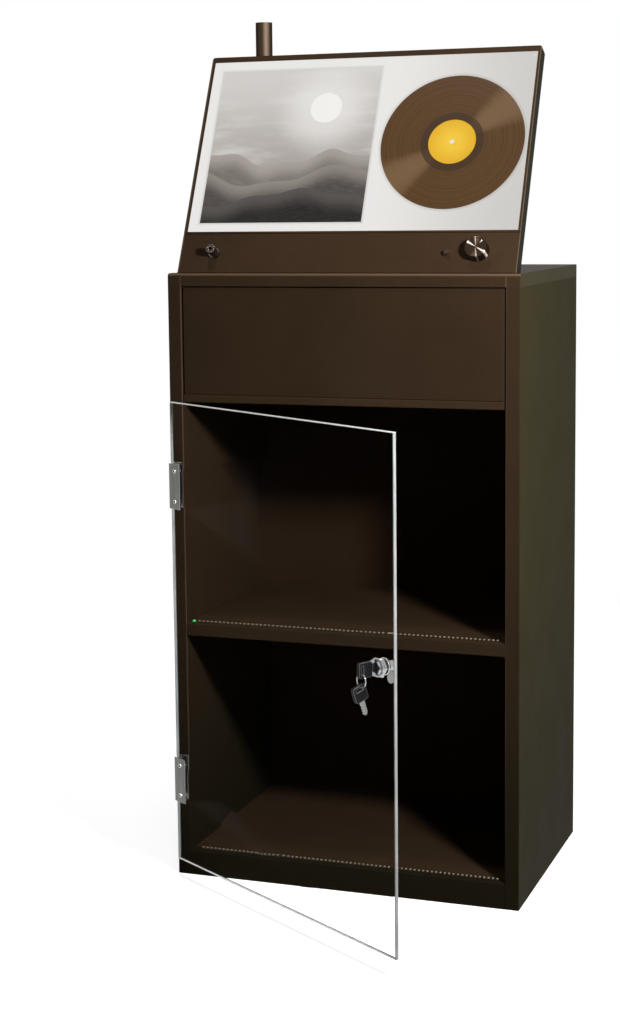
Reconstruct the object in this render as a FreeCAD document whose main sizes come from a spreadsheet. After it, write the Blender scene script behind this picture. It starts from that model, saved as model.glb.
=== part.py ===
"""Record cabinet: a lockable glass-door cabinet for records with a sloping display head.

Everything is in millimetres.  The finished part stands on Z = 0, centred on X and Y,
with its front facing -Y.  Sub-parts are modelled in four working frames:

cabinet  origin at the left front foot of the cabinet, X right, Y back, Z up
hinge    origin on the hinge pin axis at the height of the door's lower edge
door     the hinge frame turned with the door
display  origin at the lower left front corner of the display head, Y into the head,
         Z up its sloping face
"""
import FreeCAD
import Part
import Sketcher
import os
import re

Vector = FreeCAD.Vector
Rotation = FreeCAD.Rotation

DRIVING_SIZES = {
    # carcass
    "cabinet_width": 560, "cabinet_depth": 400, "cabinet_height": 965,
    "side_thickness": 22, "top_thickness": 20, "floor_thickness": 20,
    "shelf_thickness": 20, "bay_floor_thickness": 12, "rail_thickness": 20,
    "plinth_height": 20, "lower_bay_height": 352, "upper_bay_height": 352,
    "top_edge_radius": 5, "edge_radius": 1.5,
    # header panel and the shadow gap round it
    "shadow_gap": 2, "shadow_gap_depth": 20, "header_thickness": 12, "header_recess": 2,
    "cleat_width": 18, "cleat_top_gap": 10,
    # back panel in its groove
    "back_thickness": 6, "back_recess": 22, "groove_depth": 8, "groove_clearance": 0.5,
    "vent_width": 4, "vent_height": 40, "vent_pitch": 12, "vent_left": 90,
    # joinery and wood screws
    "dowel_radius": 3, "dowel_length": 30, "dowel_clearance": 0.05, "dowel_inset": 50,
    "dowel_end_gap": 0.5,
    "screw_radius": 1.75, "screw_length": 16, "screw_head_radius": 3.4,
    "screw_head_height": 1.6, "screw_clearance": 0.05, "back_screw_inset": 60,
    "long_screw_length": 28, "pan_head_radius": 3.8, "pan_head_height": 2.4,
    # light strips
    "strip_setback": 12, "strip_width": 10, "strip_thickness": 0.6, "strip_margin": 12,
    "chip_size": 3.5, "chip_height": 1.4, "chip_pitch": 6.94,
    "pilot_radius": 2, "pilot_flange_radius": 3, "pilot_flange_height": 0.8,
    "pilot_stem_length": 8, "pilot_inset": 6,
    # glass door
    "door_thickness": 6, "door_bottom": 29, "door_top_overlap": 1.6, "door_edge_gap": 5.5,
    "door_free_gap": 2.4, "door_open_angle": 33.5, "glass_chamfer": 0.8,
    "glass_clearance": 0.5,
    # door hinges
    "hinge_axis_inset": 6, "knuckle_radius": 3, "leaf_thickness": 1.5, "leaf_height": 72,
    "frame_leaf_width": 15, "door_leaf_width": 32, "hinge_end_inset": 132,
    "hinge_pin_radius": 1.5, "hinge_pin_head_radius": 2.4, "hinge_pin_head_height": 1,
    "pin_clearance": 0.05, "knuckle_gap": 0.4, "middle_knuckle_length": 34,
    "leaf_relief": 0.4, "hinge_screw_spacing": 48, "frame_screw_inset": 9.5,
    "glass_pad_thickness": 0.5, "glass_pad_inset": 1, "glass_bolt_inset": 19,
    "glass_bolt_radius": 2, "glass_bolt_head_radius": 3.6, "glass_bolt_head_height": 1.2,
    "glass_nut_radius": 4.5, "glass_nut_height": 1.5, "glass_hole_radius": 3,
    # cam lock
    "lock_backset": 30, "lock_height": 439, "lock_barrel_radius": 11.5,
    "lock_barrel_length": 11.5, "lock_shank_radius": 9.2, "lock_shank_length": 12,
    "lock_hole_clearance": 0.3, "bezel_across_flats": 27, "bezel_thickness": 6,
    "bezel_bevel": 3, "lock_nut_radius": 12.5, "lock_nut_thickness": 4, "lock_fit": 0.05,
    "lock_mouth_flare": 2, "lock_mouth_depth": 1.5,
    "plug_radius": 6, "plug_recess": 0.5, "plug_tail_radius": 4,
    "keyway_height": 8.6, "keyway_width": 2.6, "keyway_depth": 20,
    "cam_reach": 26, "cam_width": 13, "cam_thickness": 2,
    "cam_screw_radius": 1.5, "cam_screw_length": 6, "cam_screw_head_radius": 4.5,
    "cam_screw_head_height": 2,
    "strike_thickness": 1.5, "strike_front": 2, "strike_width": 16, "strike_end": 16,
    "strike_clearance": 1.25, "strike_screw_inset": 8,
    # keys and their ring
    "blade_thickness": 2, "blade_height": 8, "blade_insertion": 18, "blade_neck": 4.5,
    "blade_in_head": 9, "key_notch_depth": 1.8, "key_notch_half_width": 1.5,
    "key_tip_length": 4,
    "key_head_length": 23, "key_head_width": 22, "key_head_thickness": 6,
    "key_head_radius": 3.5, "key_slot_width": 4, "key_slot_height": 13, "key_slot_inset": 3.5,
    "ring_radius": 9.6, "ring_wire_radius": 0.9, "ring_seat_gap": 0.3,
    "spare_key_tilt": 18.1,
    # display head
    "display_side_inset": 9.5, "display_length": 377, "display_depth": 20,
    "display_tilt": 25.8, "display_setback": 19, "sheet_thickness": 1.5,
    "face_thickness": 1.5, "display_corner_radius": 4, "control_panel_length": 65,
    "panel_seam": 1, "screen_side_border": 5.5, "screen_top_border": 9,
    "screen_bottom_border": 3.1,
    "cover_glass_thickness": 3, "screen_panel_thickness": 2, "backlight_thickness": 10,
    "screen_fit": 0.5, "screen_overlap": 3, "standoff_radius": 4, "standoff_inset": 60,
    "cable_hole_radius": 8, "head_vent_width": 3, "head_vent_height": 36,
    "head_vent_pitch": 10, "head_vent_drop": 30,
    # brackets behind the display head
    "bracket_thickness": 3, "bracket_flange": 20, "bracket_inset": 100,
    "bracket_foot": 150, "bracket_rise": 230, "bracket_flange_start": 30,
    "bracket_flange_drop": 8, "bracket_heel_gap": 2, "bracket_screw_front": 60,
    "bracket_screw_back": 130,
    # controls
    "knob_radius": 17.5, "knob_top_radius": 16.6, "knob_height": 17, "knob_gap": 0.5,
    "knob_right_inset": 62.5, "knob_rise": 35, "knob_hollow_radius": 12, "knob_hollow_depth": 6,
    "knob_edge_radius": 1.2, "knob_dish": 0.8, "shaft_radius": 3, "shaft_fit": 0.05,
    "shaft_reach": 13, "shaft_depth": 5, "snap_setback": 2, "snap_width": 0.6,
    "snap_depth": 0.4, "bush_radius": 3.5, "bush_length": 5, "pot_radius": 12,
    "pot_length": 9, "pot_back": 2, "pot_nut_radius": 6, "pot_nut_thickness": 2,
    "pot_tab_pitch": 5, "pot_tab_width": 1.5, "pot_tab_thickness": 0.8,
    "pot_tab_setback": 3, "pot_tab_length": 4,
    "button_right_inset": 109.5, "button_rise": 31, "button_radius": 4, "button_fit": 0.08,
    "button_edge": 0.8, "button_nut_rim": 2, "button_nut_thickness": 2,
    "button_reach": 6, "button_depth": 2, "button_travel": 2, "button_bush_radius": 6,
    "button_bush_height": 2, "button_barrel_radius": 5, "button_barrel_length": 8,
    "switch_length": 8, "button_floor_gap": 0.5,
    "socket_left_inset": 57.5, "socket_rise": 32, "socket_radius": 6.75, "socket_reach": 20,
    "socket_neck_radius": 6, "socket_neck_length": 12, "socket_bore_radius": 3.2,
    "socket_bore_depth": 30, "socket_nut_radius": 9, "socket_nut_thickness": 2.5,
    "panel_hole_clearance": 0.05,
    # mast
    "mast_radius": 14, "mast_wall": 2, "mast_height": 403, "mast_side_inset": 42,
    "mast_back_inset": 70, "mast_flange_radius": 35, "mast_flange_thickness": 5,
    "mast_screw_circle": 26, "cap_thickness": 3, "cap_plug_length": 15, "cap_fit": 0.1,
    # electronics in the bay behind the header panel
    "supply_width": 110, "supply_depth": 78, "supply_height": 38, "supply_left": 70,
    "supply_setback": 230, "board_width": 120, "board_depth": 80, "board_thickness": 1.6,
    "terminal_length": 12, "terminal_height": 16, "terminal_rise": 6,
    "terminal_inset": 8, "board_left": 260, "board_setback": 220,
    "board_post_height": 8, "board_post_radius": 3, "board_post_inset": 6,
    "heat_sink_left": 20, "heat_sink_setback": 30, "heat_sink_depth": 36,
    "heat_sink_base": 4, "fin_thickness": 2, "fin_height": 18, "fin_pitch": 6,
    "capacitor_radius": 5, "capacitor_height": 14, "capacitor_left": 70,
    "capacitor_setback": 25, "capacitor_pitch": 15, "board_plug_left": 65,
    "board_plug_setback": 60, "board_plug_width": 44, "board_plug_depth": 14,
    "board_plug_height": 11,
    "inlet_width": 28, "inlet_height": 20, "inlet_depth": 16, "inlet_flange": 11,
    "inlet_flange_thickness": 3, "inlet_right_inset": 110,
    "inlet_wall": 1.8, "inlet_recess": 14, "inlet_rim": 2, "inlet_pin_length": 8,
    "inlet_pin_width": 2, "inlet_pin_height": 4, "inlet_pin_spread": 7,
    "inlet_pin_rise": 2, "inlet_screw_length": 8,
}

WORKED_OUT_PLACES = {
    "inner_width": "cabinet_width - 2 * side_thickness",
    "side_height": "cabinet_height - top_thickness",
    "right_inner_face": "cabinet_width - side_thickness",
    "floor_top": "plinth_height + floor_thickness",
    "shelf_bottom": "plinth_height + floor_thickness + lower_bay_height",
    "shelf_top": "plinth_height + floor_thickness + lower_bay_height + shelf_thickness",
    "bay_floor_bottom": "plinth_height + floor_thickness + lower_bay_height"
                        " + shelf_thickness + upper_bay_height",
    "bay_floor_top": "plinth_height + floor_thickness + lower_bay_height"
                     " + shelf_thickness + upper_bay_height + bay_floor_thickness",
    "bay_middle": "(plinth_height + floor_thickness + lower_bay_height + shelf_thickness"
                  " + upper_bay_height + bay_floor_thickness + cabinet_height"
                  " - top_thickness) / 2",
    "back_front": "cabinet_depth - back_recess - back_thickness",
    "back_rear": "cabinet_depth - back_recess",
    "chip_count": "floor((cabinet_width - 2 * side_thickness - 2 * strip_margin - chip_size)"
                  " / chip_pitch) + 1",
    "door_width": "cabinet_width - hinge_axis_inset - door_edge_gap - door_free_gap",
    "door_height": "plinth_height + floor_thickness + lower_bay_height + shelf_thickness"
                   " + upper_bay_height + door_top_overlap - door_bottom",
    "glass_inner": "-knuckle_radius - glass_clearance",
    "glass_outer": "-knuckle_radius - glass_clearance - door_thickness",
    "leaf_face": "-knuckle_radius - glass_clearance - door_thickness - glass_pad_thickness"
                 " - leaf_thickness",
    "lock_along_door": "cabinet_width - hinge_axis_inset - door_free_gap - lock_backset",
    "lock_above_door": "lock_height - door_bottom",
    "lock_front": "-knuckle_radius - glass_clearance - door_thickness"
                  " - lock_barrel_length",
    "lock_rear": "-knuckle_radius - glass_clearance + lock_shank_length",
    "plug_front": "-knuckle_radius - glass_clearance - door_thickness"
                  " - lock_barrel_length + plug_recess",
    "lock_closed_x": "cabinet_width - door_free_gap - lock_backset",
    "cam_closed_y": "lock_shank_length - 2 * knuckle_radius - glass_clearance",
    "ring_sag": "ring_radius - ring_wire_radius - sqrt((ring_radius - ring_wire_radius)^2"
                " - (key_head_thickness / 2)^2)",
    "display_width": "cabinet_width - 2 * display_side_inset",
    "screen_width": "cabinet_width - 2 * display_side_inset - 2 * screen_side_border",
    "window_bottom": "control_panel_length + panel_seam + screen_bottom_border",
    "screen_length": "display_length - screen_top_border - control_panel_length"
                     " - panel_seam - screen_bottom_border",
    "head_floor": "sheet_thickness / cos(display_tilt)",
}

SIZE_SHEET = "Size"
PLACE_SHEET = "Place"
ALIGN_TOLERANCE = 0.01

document = FreeCAD.newDocument("RecordCabinet")
finished = []


# ---------------------------------------------------------------- sheets and expressions

def fill_sheet(name, cells):
    sheet = document.addObject("Spreadsheet::Sheet", name)
    for row, (alias, content) in enumerate(cells.items(), start=1):
        sheet.set("A%d" % row, alias)
        sheet.set("B%d" % row, content)
        sheet.setAlias("B%d" % row, alias)
    return sheet


def expression(text):
    """Put the sheet's name in front of each alias in a plain formula."""
    def qualify(match):
        word = match.group(0)
        if word in DRIVING_SIZES:
            return "%s.%s" % (SIZE_SHEET, word)
        if word in WORKED_OUT_PLACES:
            return "%s.%s" % (PLACE_SHEET, word)
        return word
    return re.sub(r"[a-z][a-z_]+", qualify, text)


sizes = fill_sheet(SIZE_SHEET, {name: str(value) for name, value in DRIVING_SIZES.items()})
places = fill_sheet(PLACE_SHEET,
                    {name: "=" + expression(rule).replace(PLACE_SHEET + ".", "")
                     for name, rule in WORKED_OUT_PLACES.items()})
document.recompute()


def value(text):
    return float(sizes.evalExpression(expression(text)))


def bind(thing, prop, text):
    thing.setExpression(prop, expression(text))


def bind_base(thing, spot):
    for letter, text in zip("xyz", spot):
        bind(thing, "Placement.Base." + letter, text)


# ---------------------------------------------------------------- primitives and booleans

TURN_FROM_Z = {
    "+x": Rotation(Vector(0, 1, 0), 90), "-x": Rotation(Vector(0, 1, 0), -90),
    "+y": Rotation(Vector(1, 0, 0), -90), "-y": Rotation(Vector(1, 0, 0), 90),
    "+z": Rotation(), "-z": Rotation(Vector(1, 0, 0), 180),
}


def box(name, corner, size):
    shape = document.addObject("Part::Box", name)
    bind_base(shape, corner)
    for prop, text in zip(("Length", "Width", "Height"), size):
        bind(shape, prop, text)
    return shape


def cylinder(name, radius, length, spot, along="+z"):
    shape = document.addObject("Part::Cylinder", name)
    shape.Placement = FreeCAD.Placement(Vector(), TURN_FROM_Z[along])
    bind(shape, "Radius", radius)
    bind(shape, "Height", length)
    bind_base(shape, spot)
    return shape


def cone(name, start_radius, end_radius, length, spot, along="+z"):
    shape = document.addObject("Part::Cone", name)
    shape.Placement = FreeCAD.Placement(Vector(), TURN_FROM_Z[along])
    bind(shape, "Radius1", start_radius)
    bind(shape, "Radius2", end_radius)
    bind(shape, "Height", length)
    bind_base(shape, spot)
    return shape


def sphere(name, radius, spot):
    shape = document.addObject("Part::Sphere", name)
    bind(shape, "Radius", radius)
    bind_base(shape, spot)
    return shape


def group(name, members, spot=None):
    result = document.addObject("Part::Compound", name)
    result.Links = members
    if spot:
        bind_base(result, spot)
    return result


def fuse(name, members):
    result = document.addObject("Part::MultiFuse", name)
    result.Shapes = members
    result.Refine = True
    return result


def cut(name, base, tools):
    """Take every tool out of the base in one boolean."""
    result = document.addObject("Part::Cut", name)
    result.Base = base
    result.Tool = tools[0] if len(tools) == 1 else group(name + "_tools", tools)
    return result


# ---------------------------------------------------------------- sketched bodies

SKETCH_PLANES = {"xy": ("XY_Plane", False), "xz": ("XZ_Plane", True), "yz": ("YZ_Plane", False)}


def origin_plane(body, role):
    for feature in body.Origin.OriginFeatures:
        if feature.Role == role:
            return feature
    raise ValueError("no plane " + role)


def sketch_on(body, name, plane, start="0"):
    """A sketch on one of the body's own planes, lifted to start along its third axis."""
    role, reversed_normal = SKETCH_PLANES[plane]
    sketch = body.newObject("Sketcher::SketchObject", name)
    sketch.AttachmentSupport = [(origin_plane(body, role), "")]
    sketch.MapMode = "FlatFace"
    lift = "-(%s)" % start if reversed_normal else start
    bind(sketch, "AttachmentOffset.Base.z", lift)
    return sketch


def pin_point(sketch, edge, end, spot):
    """Fix one end of an edge at a place that follows the sheets."""
    for kind, text in zip(("DistanceX", "DistanceY"), spot):
        index = sketch.addConstraint(
            Sketcher.Constraint(kind, -1, 1, edge, end, value(text)))
        sketch.setExpression("Constraints[%d]" % index, expression(text))


def draw_outline(sketch, points):
    """A closed outline of straight lines through the points."""
    spots = [Vector(value(across), value(up), 0) for across, up in points]
    count = len(spots)
    lines = [sketch.addGeometry(Part.LineSegment(spots[i], spots[(i + 1) % count]))
             for i in range(count)]
    for i in range(count):
        following = lines[(i + 1) % count]
        sketch.addConstraint(Sketcher.Constraint("Coincident", lines[i], 2, following, 1))
    for line, point in zip(lines, points):
        pin_point(sketch, line, 1, point)


def draw_circle(sketch, centre, radius):
    spot = Vector(value(centre[0]), value(centre[1]), 0)
    circle = sketch.addGeometry(Part.Circle(spot, Vector(0, 0, 1), value(radius)))
    pin_point(sketch, circle, 3, centre)
    index = sketch.addConstraint(Sketcher.Constraint("Radius", circle, value(radius)))
    sketch.setExpression("Constraints[%d]" % index, expression(radius))


def pad(body, sketch, length, name="Pad"):
    feature = body.newObject("PartDesign::Pad", name)
    feature.Profile = sketch
    feature.Reversed = sketch.AttachmentSupport[0][0].Role == "XZ_Plane"
    bind(feature, "Length", length)
    return feature


def prism(name, plane, points, start, length):
    """A body whose outline lies in one plane and runs on along the third axis."""
    body = document.addObject("PartDesign::Body", name)
    sketch = sketch_on(body, name + "_outline", plane, start)
    draw_outline(sketch, points)
    pad(body, sketch, length, name + "_pad")
    return body


def rectangle(left, front, right, rear):
    return [(left, front), (right, front), (right, rear), (left, rear)]


def slab(name, corner, size):
    x, y, z = corner
    outline = rectangle(x, y, "%s + %s" % (x, size[0]), "%s + %s" % (y, size[1]))
    return prism(name, "xy", outline, z, size[2])


def turned(name, points):
    """A body of revolution about its own Z axis, from an outline of radius and height."""
    body = document.addObject("PartDesign::Body", name)
    sketch = sketch_on(body, name + "_outline", "xz")
    draw_outline(sketch, points)
    feature = body.newObject("PartDesign::Revolution", name + "_turn")
    feature.Profile = sketch
    feature.ReferenceAxis = (sketch, ["V_Axis"])
    feature.Angle = 360
    return body


def lies_at(**wanted):
    """A test for edges that lie wholly at the wanted x, y or z."""
    levels = {axis.upper(): value(text) for axis, text in wanted.items()}

    def test(edge):
        bounds = edge.BoundBox
        return all(abs(getattr(bounds, axis + end) - level) < ALIGN_TOLERANCE
                   for axis, level in levels.items() for end in ("Min", "Max"))
    return test


def dress_edges(body, kind, radius, test, name):
    """Fillet or chamfer the edges of the body that pass the test."""
    document.recompute()
    base = body.Tip
    chosen = ["Edge%d" % number for number, edge in enumerate(base.Shape.Edges, start=1)
              if test(edge)]
    if not chosen:
        raise ValueError("no edge to dress on " + body.Name)
    feature = body.newObject("PartDesign::" + kind, name)
    feature.Base = (base, chosen)
    bind(feature, "Radius" if kind == "Fillet" else "Size", radius)
    return feature


def round_edges(body, radius, test, name="Round"):
    return dress_edges(body, "Fillet", radius, test, name)


# ---------------------------------------------------------------- frames and finished nodes

FRAME_ORIGINS = {
    "cabinet": ("-cabinet_width / 2", "-cabinet_depth / 2", "0"),
    "hinge": ("hinge_axis_inset - cabinet_width / 2",
              "-cabinet_depth / 2 - knuckle_radius", "door_bottom"),
    "door": ("hinge_axis_inset - cabinet_width / 2",
             "-cabinet_depth / 2 - knuckle_radius", "door_bottom"),
    "display": ("-display_width / 2", "display_setback - cabinet_depth / 2",
                "cabinet_height"),
}
FRAME_TURNS = {
    "door": (Vector(0, 0, -1), "door_open_angle"),
    "display": (Vector(-1, 0, 0), "display_tilt"),
}


def turn_offset(frame, offset):
    """Write an offset in a working frame as one along the part's own axes."""
    x, y, z = ("(%s)" % text for text in offset)
    if frame == "door":
        return ("%s * cos(door_open_angle) + %s * sin(door_open_angle)" % (x, y),
                "%s * cos(door_open_angle) - %s * sin(door_open_angle)" % (y, x), z)
    if frame == "display":
        return (x, "%s * cos(display_tilt) + %s * sin(display_tilt)" % (y, z),
                "%s * cos(display_tilt) - %s * sin(display_tilt)" % (z, y))
    return (x, y, z)


def finish(shape, node, frame, offset=("0", "0", "0")):
    """Name a sub-part and put it in its place in the whole part."""
    shape.Label = node
    if frame in FRAME_TURNS:
        axis, angle = FRAME_TURNS[frame]
        shape.Placement = FreeCAD.Placement(Vector(), Rotation(axis, value(angle)))
        bind(shape, "Placement.Rotation.Angle", angle)
    shift = turn_offset(frame, offset)
    bind_base(shape, ["%s + %s" % pair for pair in zip(FRAME_ORIGINS[frame], shift)])
    finished.append(shape)


# ---------------------------------------------------------------- screws and dowels

def wood_screw(name, spot, along, length="screw_length", clearance="0"):
    """A countersunk screw whose head is flush at the spot."""
    head = cone(name + "_head", "screw_head_radius + " + clearance,
                "screw_radius + " + clearance, "screw_head_height", spot, along)
    shank = cylinder(name + "_shank", "screw_radius + " + clearance, length, spot, along)
    return fuse(name, [head, shank])


def wood_screws(name, spots, along, length="screw_length"):
    """A row of screws, and the row of holes that they need."""
    screws = [wood_screw("%s_%d" % (name, i), spot, along, length)
              for i, spot in enumerate(spots)]
    holes = [wood_screw("%s_hole_%d" % (name, i), spot, along, length, "screw_clearance")
             for i, spot in enumerate(spots)]
    return screws, holes


def pan_screws(name, spots, length="screw_length"):
    """Upright pan-head screws whose heads stand on the spots, and their holes."""
    screws = []
    holes = []
    for i, (x, y, z) in enumerate(spots):
        label = "%s_%d" % (name, i)
        head = cylinder(label + "_head", "pan_head_radius", "pan_head_height", (x, y, z))
        shank = cylinder(label + "_shank", "screw_radius", length, (x, y, z), "-z")
        screws.append(fuse(label, [head, shank]))
        holes.append(cylinder(label + "_hole", "screw_radius + screw_clearance",
                              length, (x, y, z), "-z"))
    return screws, holes


def dowels_and_holes():
    """Dowels across every carcass joint, half in each board."""
    board_levels = ["plinth_height + floor_thickness / 2",
                    "shelf_bottom + shelf_thickness / 2",
                    "bay_floor_bottom + bay_floor_thickness / 2"]
    rows = ["dowel_inset", "back_front - dowel_inset"]
    spots = [("+x", joint, row, level) for joint in ("side_thickness", "right_inner_face")
             for row in rows for level in board_levels]
    rails = [("rail_thickness / 2", "floor_top / 2"),
             ("back_front - rail_thickness / 2", "plinth_height / 2")]
    spots += [("+x", joint, row, level) for joint in ("side_thickness", "right_inner_face")
              for row, level in rails]
    spots += [("+z", middle, row, "side_height") for row in rows
              for middle in ("side_thickness / 2", "cabinet_width - side_thickness / 2")]
    dowels = []
    holes = []
    for i, (along, x, y, z) in enumerate(spots):
        half = "dowel_length / 2"
        deep = "(dowel_length / 2 + dowel_end_gap)"
        start = (x + " - " + half, y, z) if along == "+x" else (x, y, z + " - " + half)
        mouth = (x + " - " + deep, y, z) if along == "+x" else (x, y, z + " - " + deep)
        dowels.append(cylinder("dowel_%d" % i, "dowel_radius", "dowel_length", start, along))
        holes.append(cylinder("dowel_hole_%d" % i, "dowel_radius + dowel_clearance",
                              "2 * " + deep, mouth, along))
    return dowels, holes


# ---------------------------------------------------------------- carcass

def side_outline(inner_face, outer_face, groove_floor):
    return [(outer_face, "0"), (inner_face, "0"), (inner_face, "back_front"),
            (groove_floor, "back_front"), (groove_floor, "back_rear"),
            (inner_face, "back_rear"), (inner_face, "cabinet_depth"),
            (outer_face, "cabinet_depth")]


def side_board(node, inner_face, outer_face, groove_floor, tools):
    body = prism(node + "_blank", "xy", side_outline(inner_face, outer_face, groove_floor),
                 "0", "side_height")
    front = lies_at(y="0")
    half_height = value("side_height / 2")
    round_edges(body, "edge_radius",
                lambda edge: front(edge) and edge.BoundBox.ZLength > half_height)
    finish(cut(node + "_solid", body, tools), node, "cabinet")


def top_board(tools):
    body = slab("top_blank", ("0", "0", "side_height"),
                ("cabinet_width", "cabinet_depth", "top_thickness"))
    round_edges(body, "top_edge_radius", lies_at(y="0", z="cabinet_height"), "FrontRound")
    upright = lies_at(y="cabinet_depth")
    right = lies_at(x="cabinet_width", z="cabinet_height")
    left = lies_at(x="0", z="cabinet_height")
    round_edges(body, "edge_radius", lambda edge: (left(edge) or right(edge))
                and not upright(edge), "SideRound")
    groove = box("top_groove", ("side_thickness - groove_depth", "back_front", "side_height"),
                 ("inner_width + 2 * groove_depth", "back_thickness", "groove_depth"))
    finish(cut("top_solid", body, [groove] + tools), "top_board", "cabinet")


def floor_board(tools):
    body = slab("floor_blank", ("side_thickness", "rail_thickness", "plinth_height"),
                ("inner_width", "back_front - rail_thickness", "floor_thickness"))
    finish(cut("floor_solid", body, tools), "floor_board", "cabinet")


def plinth_frame(tools):
    """A glued frame under the floor board, whose front rail stands up in front of it."""
    body = document.addObject("PartDesign::Body", "plinth_blank")
    ring = sketch_on(body, "plinth_ring", "xy")
    draw_outline(ring, rectangle("side_thickness", "0", "right_inner_face", "back_front"))
    draw_outline(ring, rectangle("side_thickness + rail_thickness", "rail_thickness",
                                 "right_inner_face - rail_thickness",
                                 "back_front - rail_thickness"))
    pad(body, ring, "plinth_height", "ring_pad")
    front = sketch_on(body, "front_rail", "xy", "plinth_height")
    draw_outline(front, rectangle("side_thickness", "0", "right_inner_face",
                                  "rail_thickness"))
    pad(body, front, "floor_thickness", "front_rail_pad")
    round_edges(body, "edge_radius", lies_at(y="0", z="floor_top"))
    finish(cut("plinth_solid", body, tools), "plinth_frame", "cabinet")


def middle_shelf(tools):
    body = slab("shelf_blank", ("side_thickness", "0", "shelf_bottom"),
                ("inner_width", "back_front", "shelf_thickness"))
    top = lies_at(y="0", z="shelf_top")
    bottom = lies_at(y="0", z="shelf_bottom")
    round_edges(body, "edge_radius", lambda edge: top(edge) or bottom(edge))
    lamp_hole = cylinder("pilot_hole", "pilot_radius + screw_clearance",
                         "pilot_stem_length + pilot_flange_height",
                         ("side_thickness + pilot_inset", "strip_setback + strip_width / 2",
                          "shelf_top - pilot_stem_length"))
    finish(cut("shelf_solid", body, tools + [lamp_hole]), "middle_shelf", "cabinet")


def bay_floor(tools):
    left = "side_thickness"
    right = "right_inner_face"
    notch_left = "side_thickness + shadow_gap"
    notch_right = "right_inner_face - shadow_gap"
    outline = [(notch_left, "0"), (notch_right, "0"), (notch_right, "shadow_gap_depth"),
               (right, "shadow_gap_depth"), (right, "back_front"), (left, "back_front"),
               (left, "shadow_gap_depth"), (notch_left, "shadow_gap_depth")]
    body = prism("bay_floor_blank", "xy", outline, "bay_floor_bottom", "bay_floor_thickness")
    top = lies_at(y="0", z="bay_floor_top")
    bottom = lies_at(y="0", z="bay_floor_bottom")
    round_edges(body, "edge_radius", lambda edge: top(edge) or bottom(edge))
    finish(cut("bay_floor_solid", body, tools), "bay_floor", "cabinet")


def header_panel(tools):
    body = slab("header_blank",
                ("side_thickness + shadow_gap", "header_recess", "bay_floor_top"),
                ("inner_width - 2 * shadow_gap", "header_thickness",
                 "side_height - shadow_gap - bay_floor_top"))
    round_edges(body, "edge_radius", lies_at(y="header_recess"))
    finish(cut("header_solid", body, tools), "header_panel", "cabinet")


def header_fixings():
    """Cleats that hold the header panel from behind, their screws and the holes."""
    behind = "header_recess + header_thickness"
    height = "side_height - cleat_top_gap - bay_floor_top"
    size = ("cleat_width", "cleat_width", height)
    left = slab("left_cleat", ("side_thickness", behind, "bay_floor_top"), size)
    right = slab("right_cleat", ("right_inner_face - cleat_width", behind, "bay_floor_top"),
                 size)
    low = "bay_floor_top + (%s) * " % height
    to_panel = [(x, behind + " + cleat_width", low + share)
                for x in ("side_thickness + cleat_width / 2",
                          "right_inner_face - cleat_width / 2")
                for share in ("0.2", "0.8")]
    middle = behind + " + cleat_width / 2"
    panel_screws, panel_holes = wood_screws("header_screw", to_panel, "-y",
                                            "long_screw_length")
    left_spots = [("side_thickness + cleat_width", middle, low + s) for s in ("0.35", "0.65")]
    right_spots = [("right_inner_face - cleat_width", middle, low + s)
                   for s in ("0.35", "0.65")]
    left_screws, left_holes = wood_screws("left_cleat_screw", left_spots, "-x",
                                          "long_screw_length")
    right_screws, right_holes = wood_screws("right_cleat_screw", right_spots, "+x",
                                            "long_screw_length")
    cleat_holes = panel_holes + left_holes + right_holes
    cleats = [cut("left_cleat_solid", left, [group("left_cleat_holes", cleat_holes)]),
              cut("right_cleat_solid", right, [group("right_cleat_holes", cleat_holes)])]
    finish(group("cleat_pair", cleats), "header_cleats", "cabinet")
    finish(group("header_screw_set", panel_screws + left_screws + right_screws),
           "header_screws", "cabinet")
    return cleat_holes


def back_panel(screw_holes, inlet_cuts):
    left = "side_thickness - groove_depth + groove_clearance"
    body = slab("back_blank", (left, "back_front", "plinth_height"),
                ("inner_width + 2 * (groove_depth - groove_clearance)", "back_thickness",
                 "side_height + groove_depth - groove_clearance - plinth_height"))
    sketch = sketch_on(body, "vent_outline", "xz", "back_front")
    low = "bay_middle - vent_height / 2"
    draw_outline(sketch, rectangle("vent_left", low, "vent_left + vent_width",
                                   low + " + vent_height"))
    document.recompute()
    full_volume = body.Shape.Volume
    vent = body.newObject("PartDesign::Pocket", "vent_pocket")
    vent.Profile = sketch
    vent.Type = 0
    vent.Midplane = True
    bind(vent, "Length", "4 * back_thickness")
    rows = body.newObject("PartDesign::LinearPattern", "vent_row")
    rows.Originals = [vent]
    rows.Direction = (sketch, ["H_Axis"])
    bind(rows, "Length", "vent_pitch * 11")
    rows.Occurrences = 12
    body.Tip = rows
    document.recompute()
    if not body.Shape.Volume < full_volume - 12 * value("vent_width * vent_height"):
        raise ValueError("the vents cut nothing")
    finish(cut("back_solid", body, screw_holes + inlet_cuts), "back_panel", "cabinet")


def back_screw_spots():
    levels = ["plinth_height + floor_thickness / 2", "shelf_bottom + shelf_thickness / 2",
              "bay_floor_bottom + bay_floor_thickness / 2"]
    columns = ["side_thickness + back_screw_inset", "cabinet_width / 2",
               "right_inner_face - back_screw_inset"]
    return [(x, "back_rear", z) for z in levels for x in columns]


# ---------------------------------------------------------------- light strips

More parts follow.
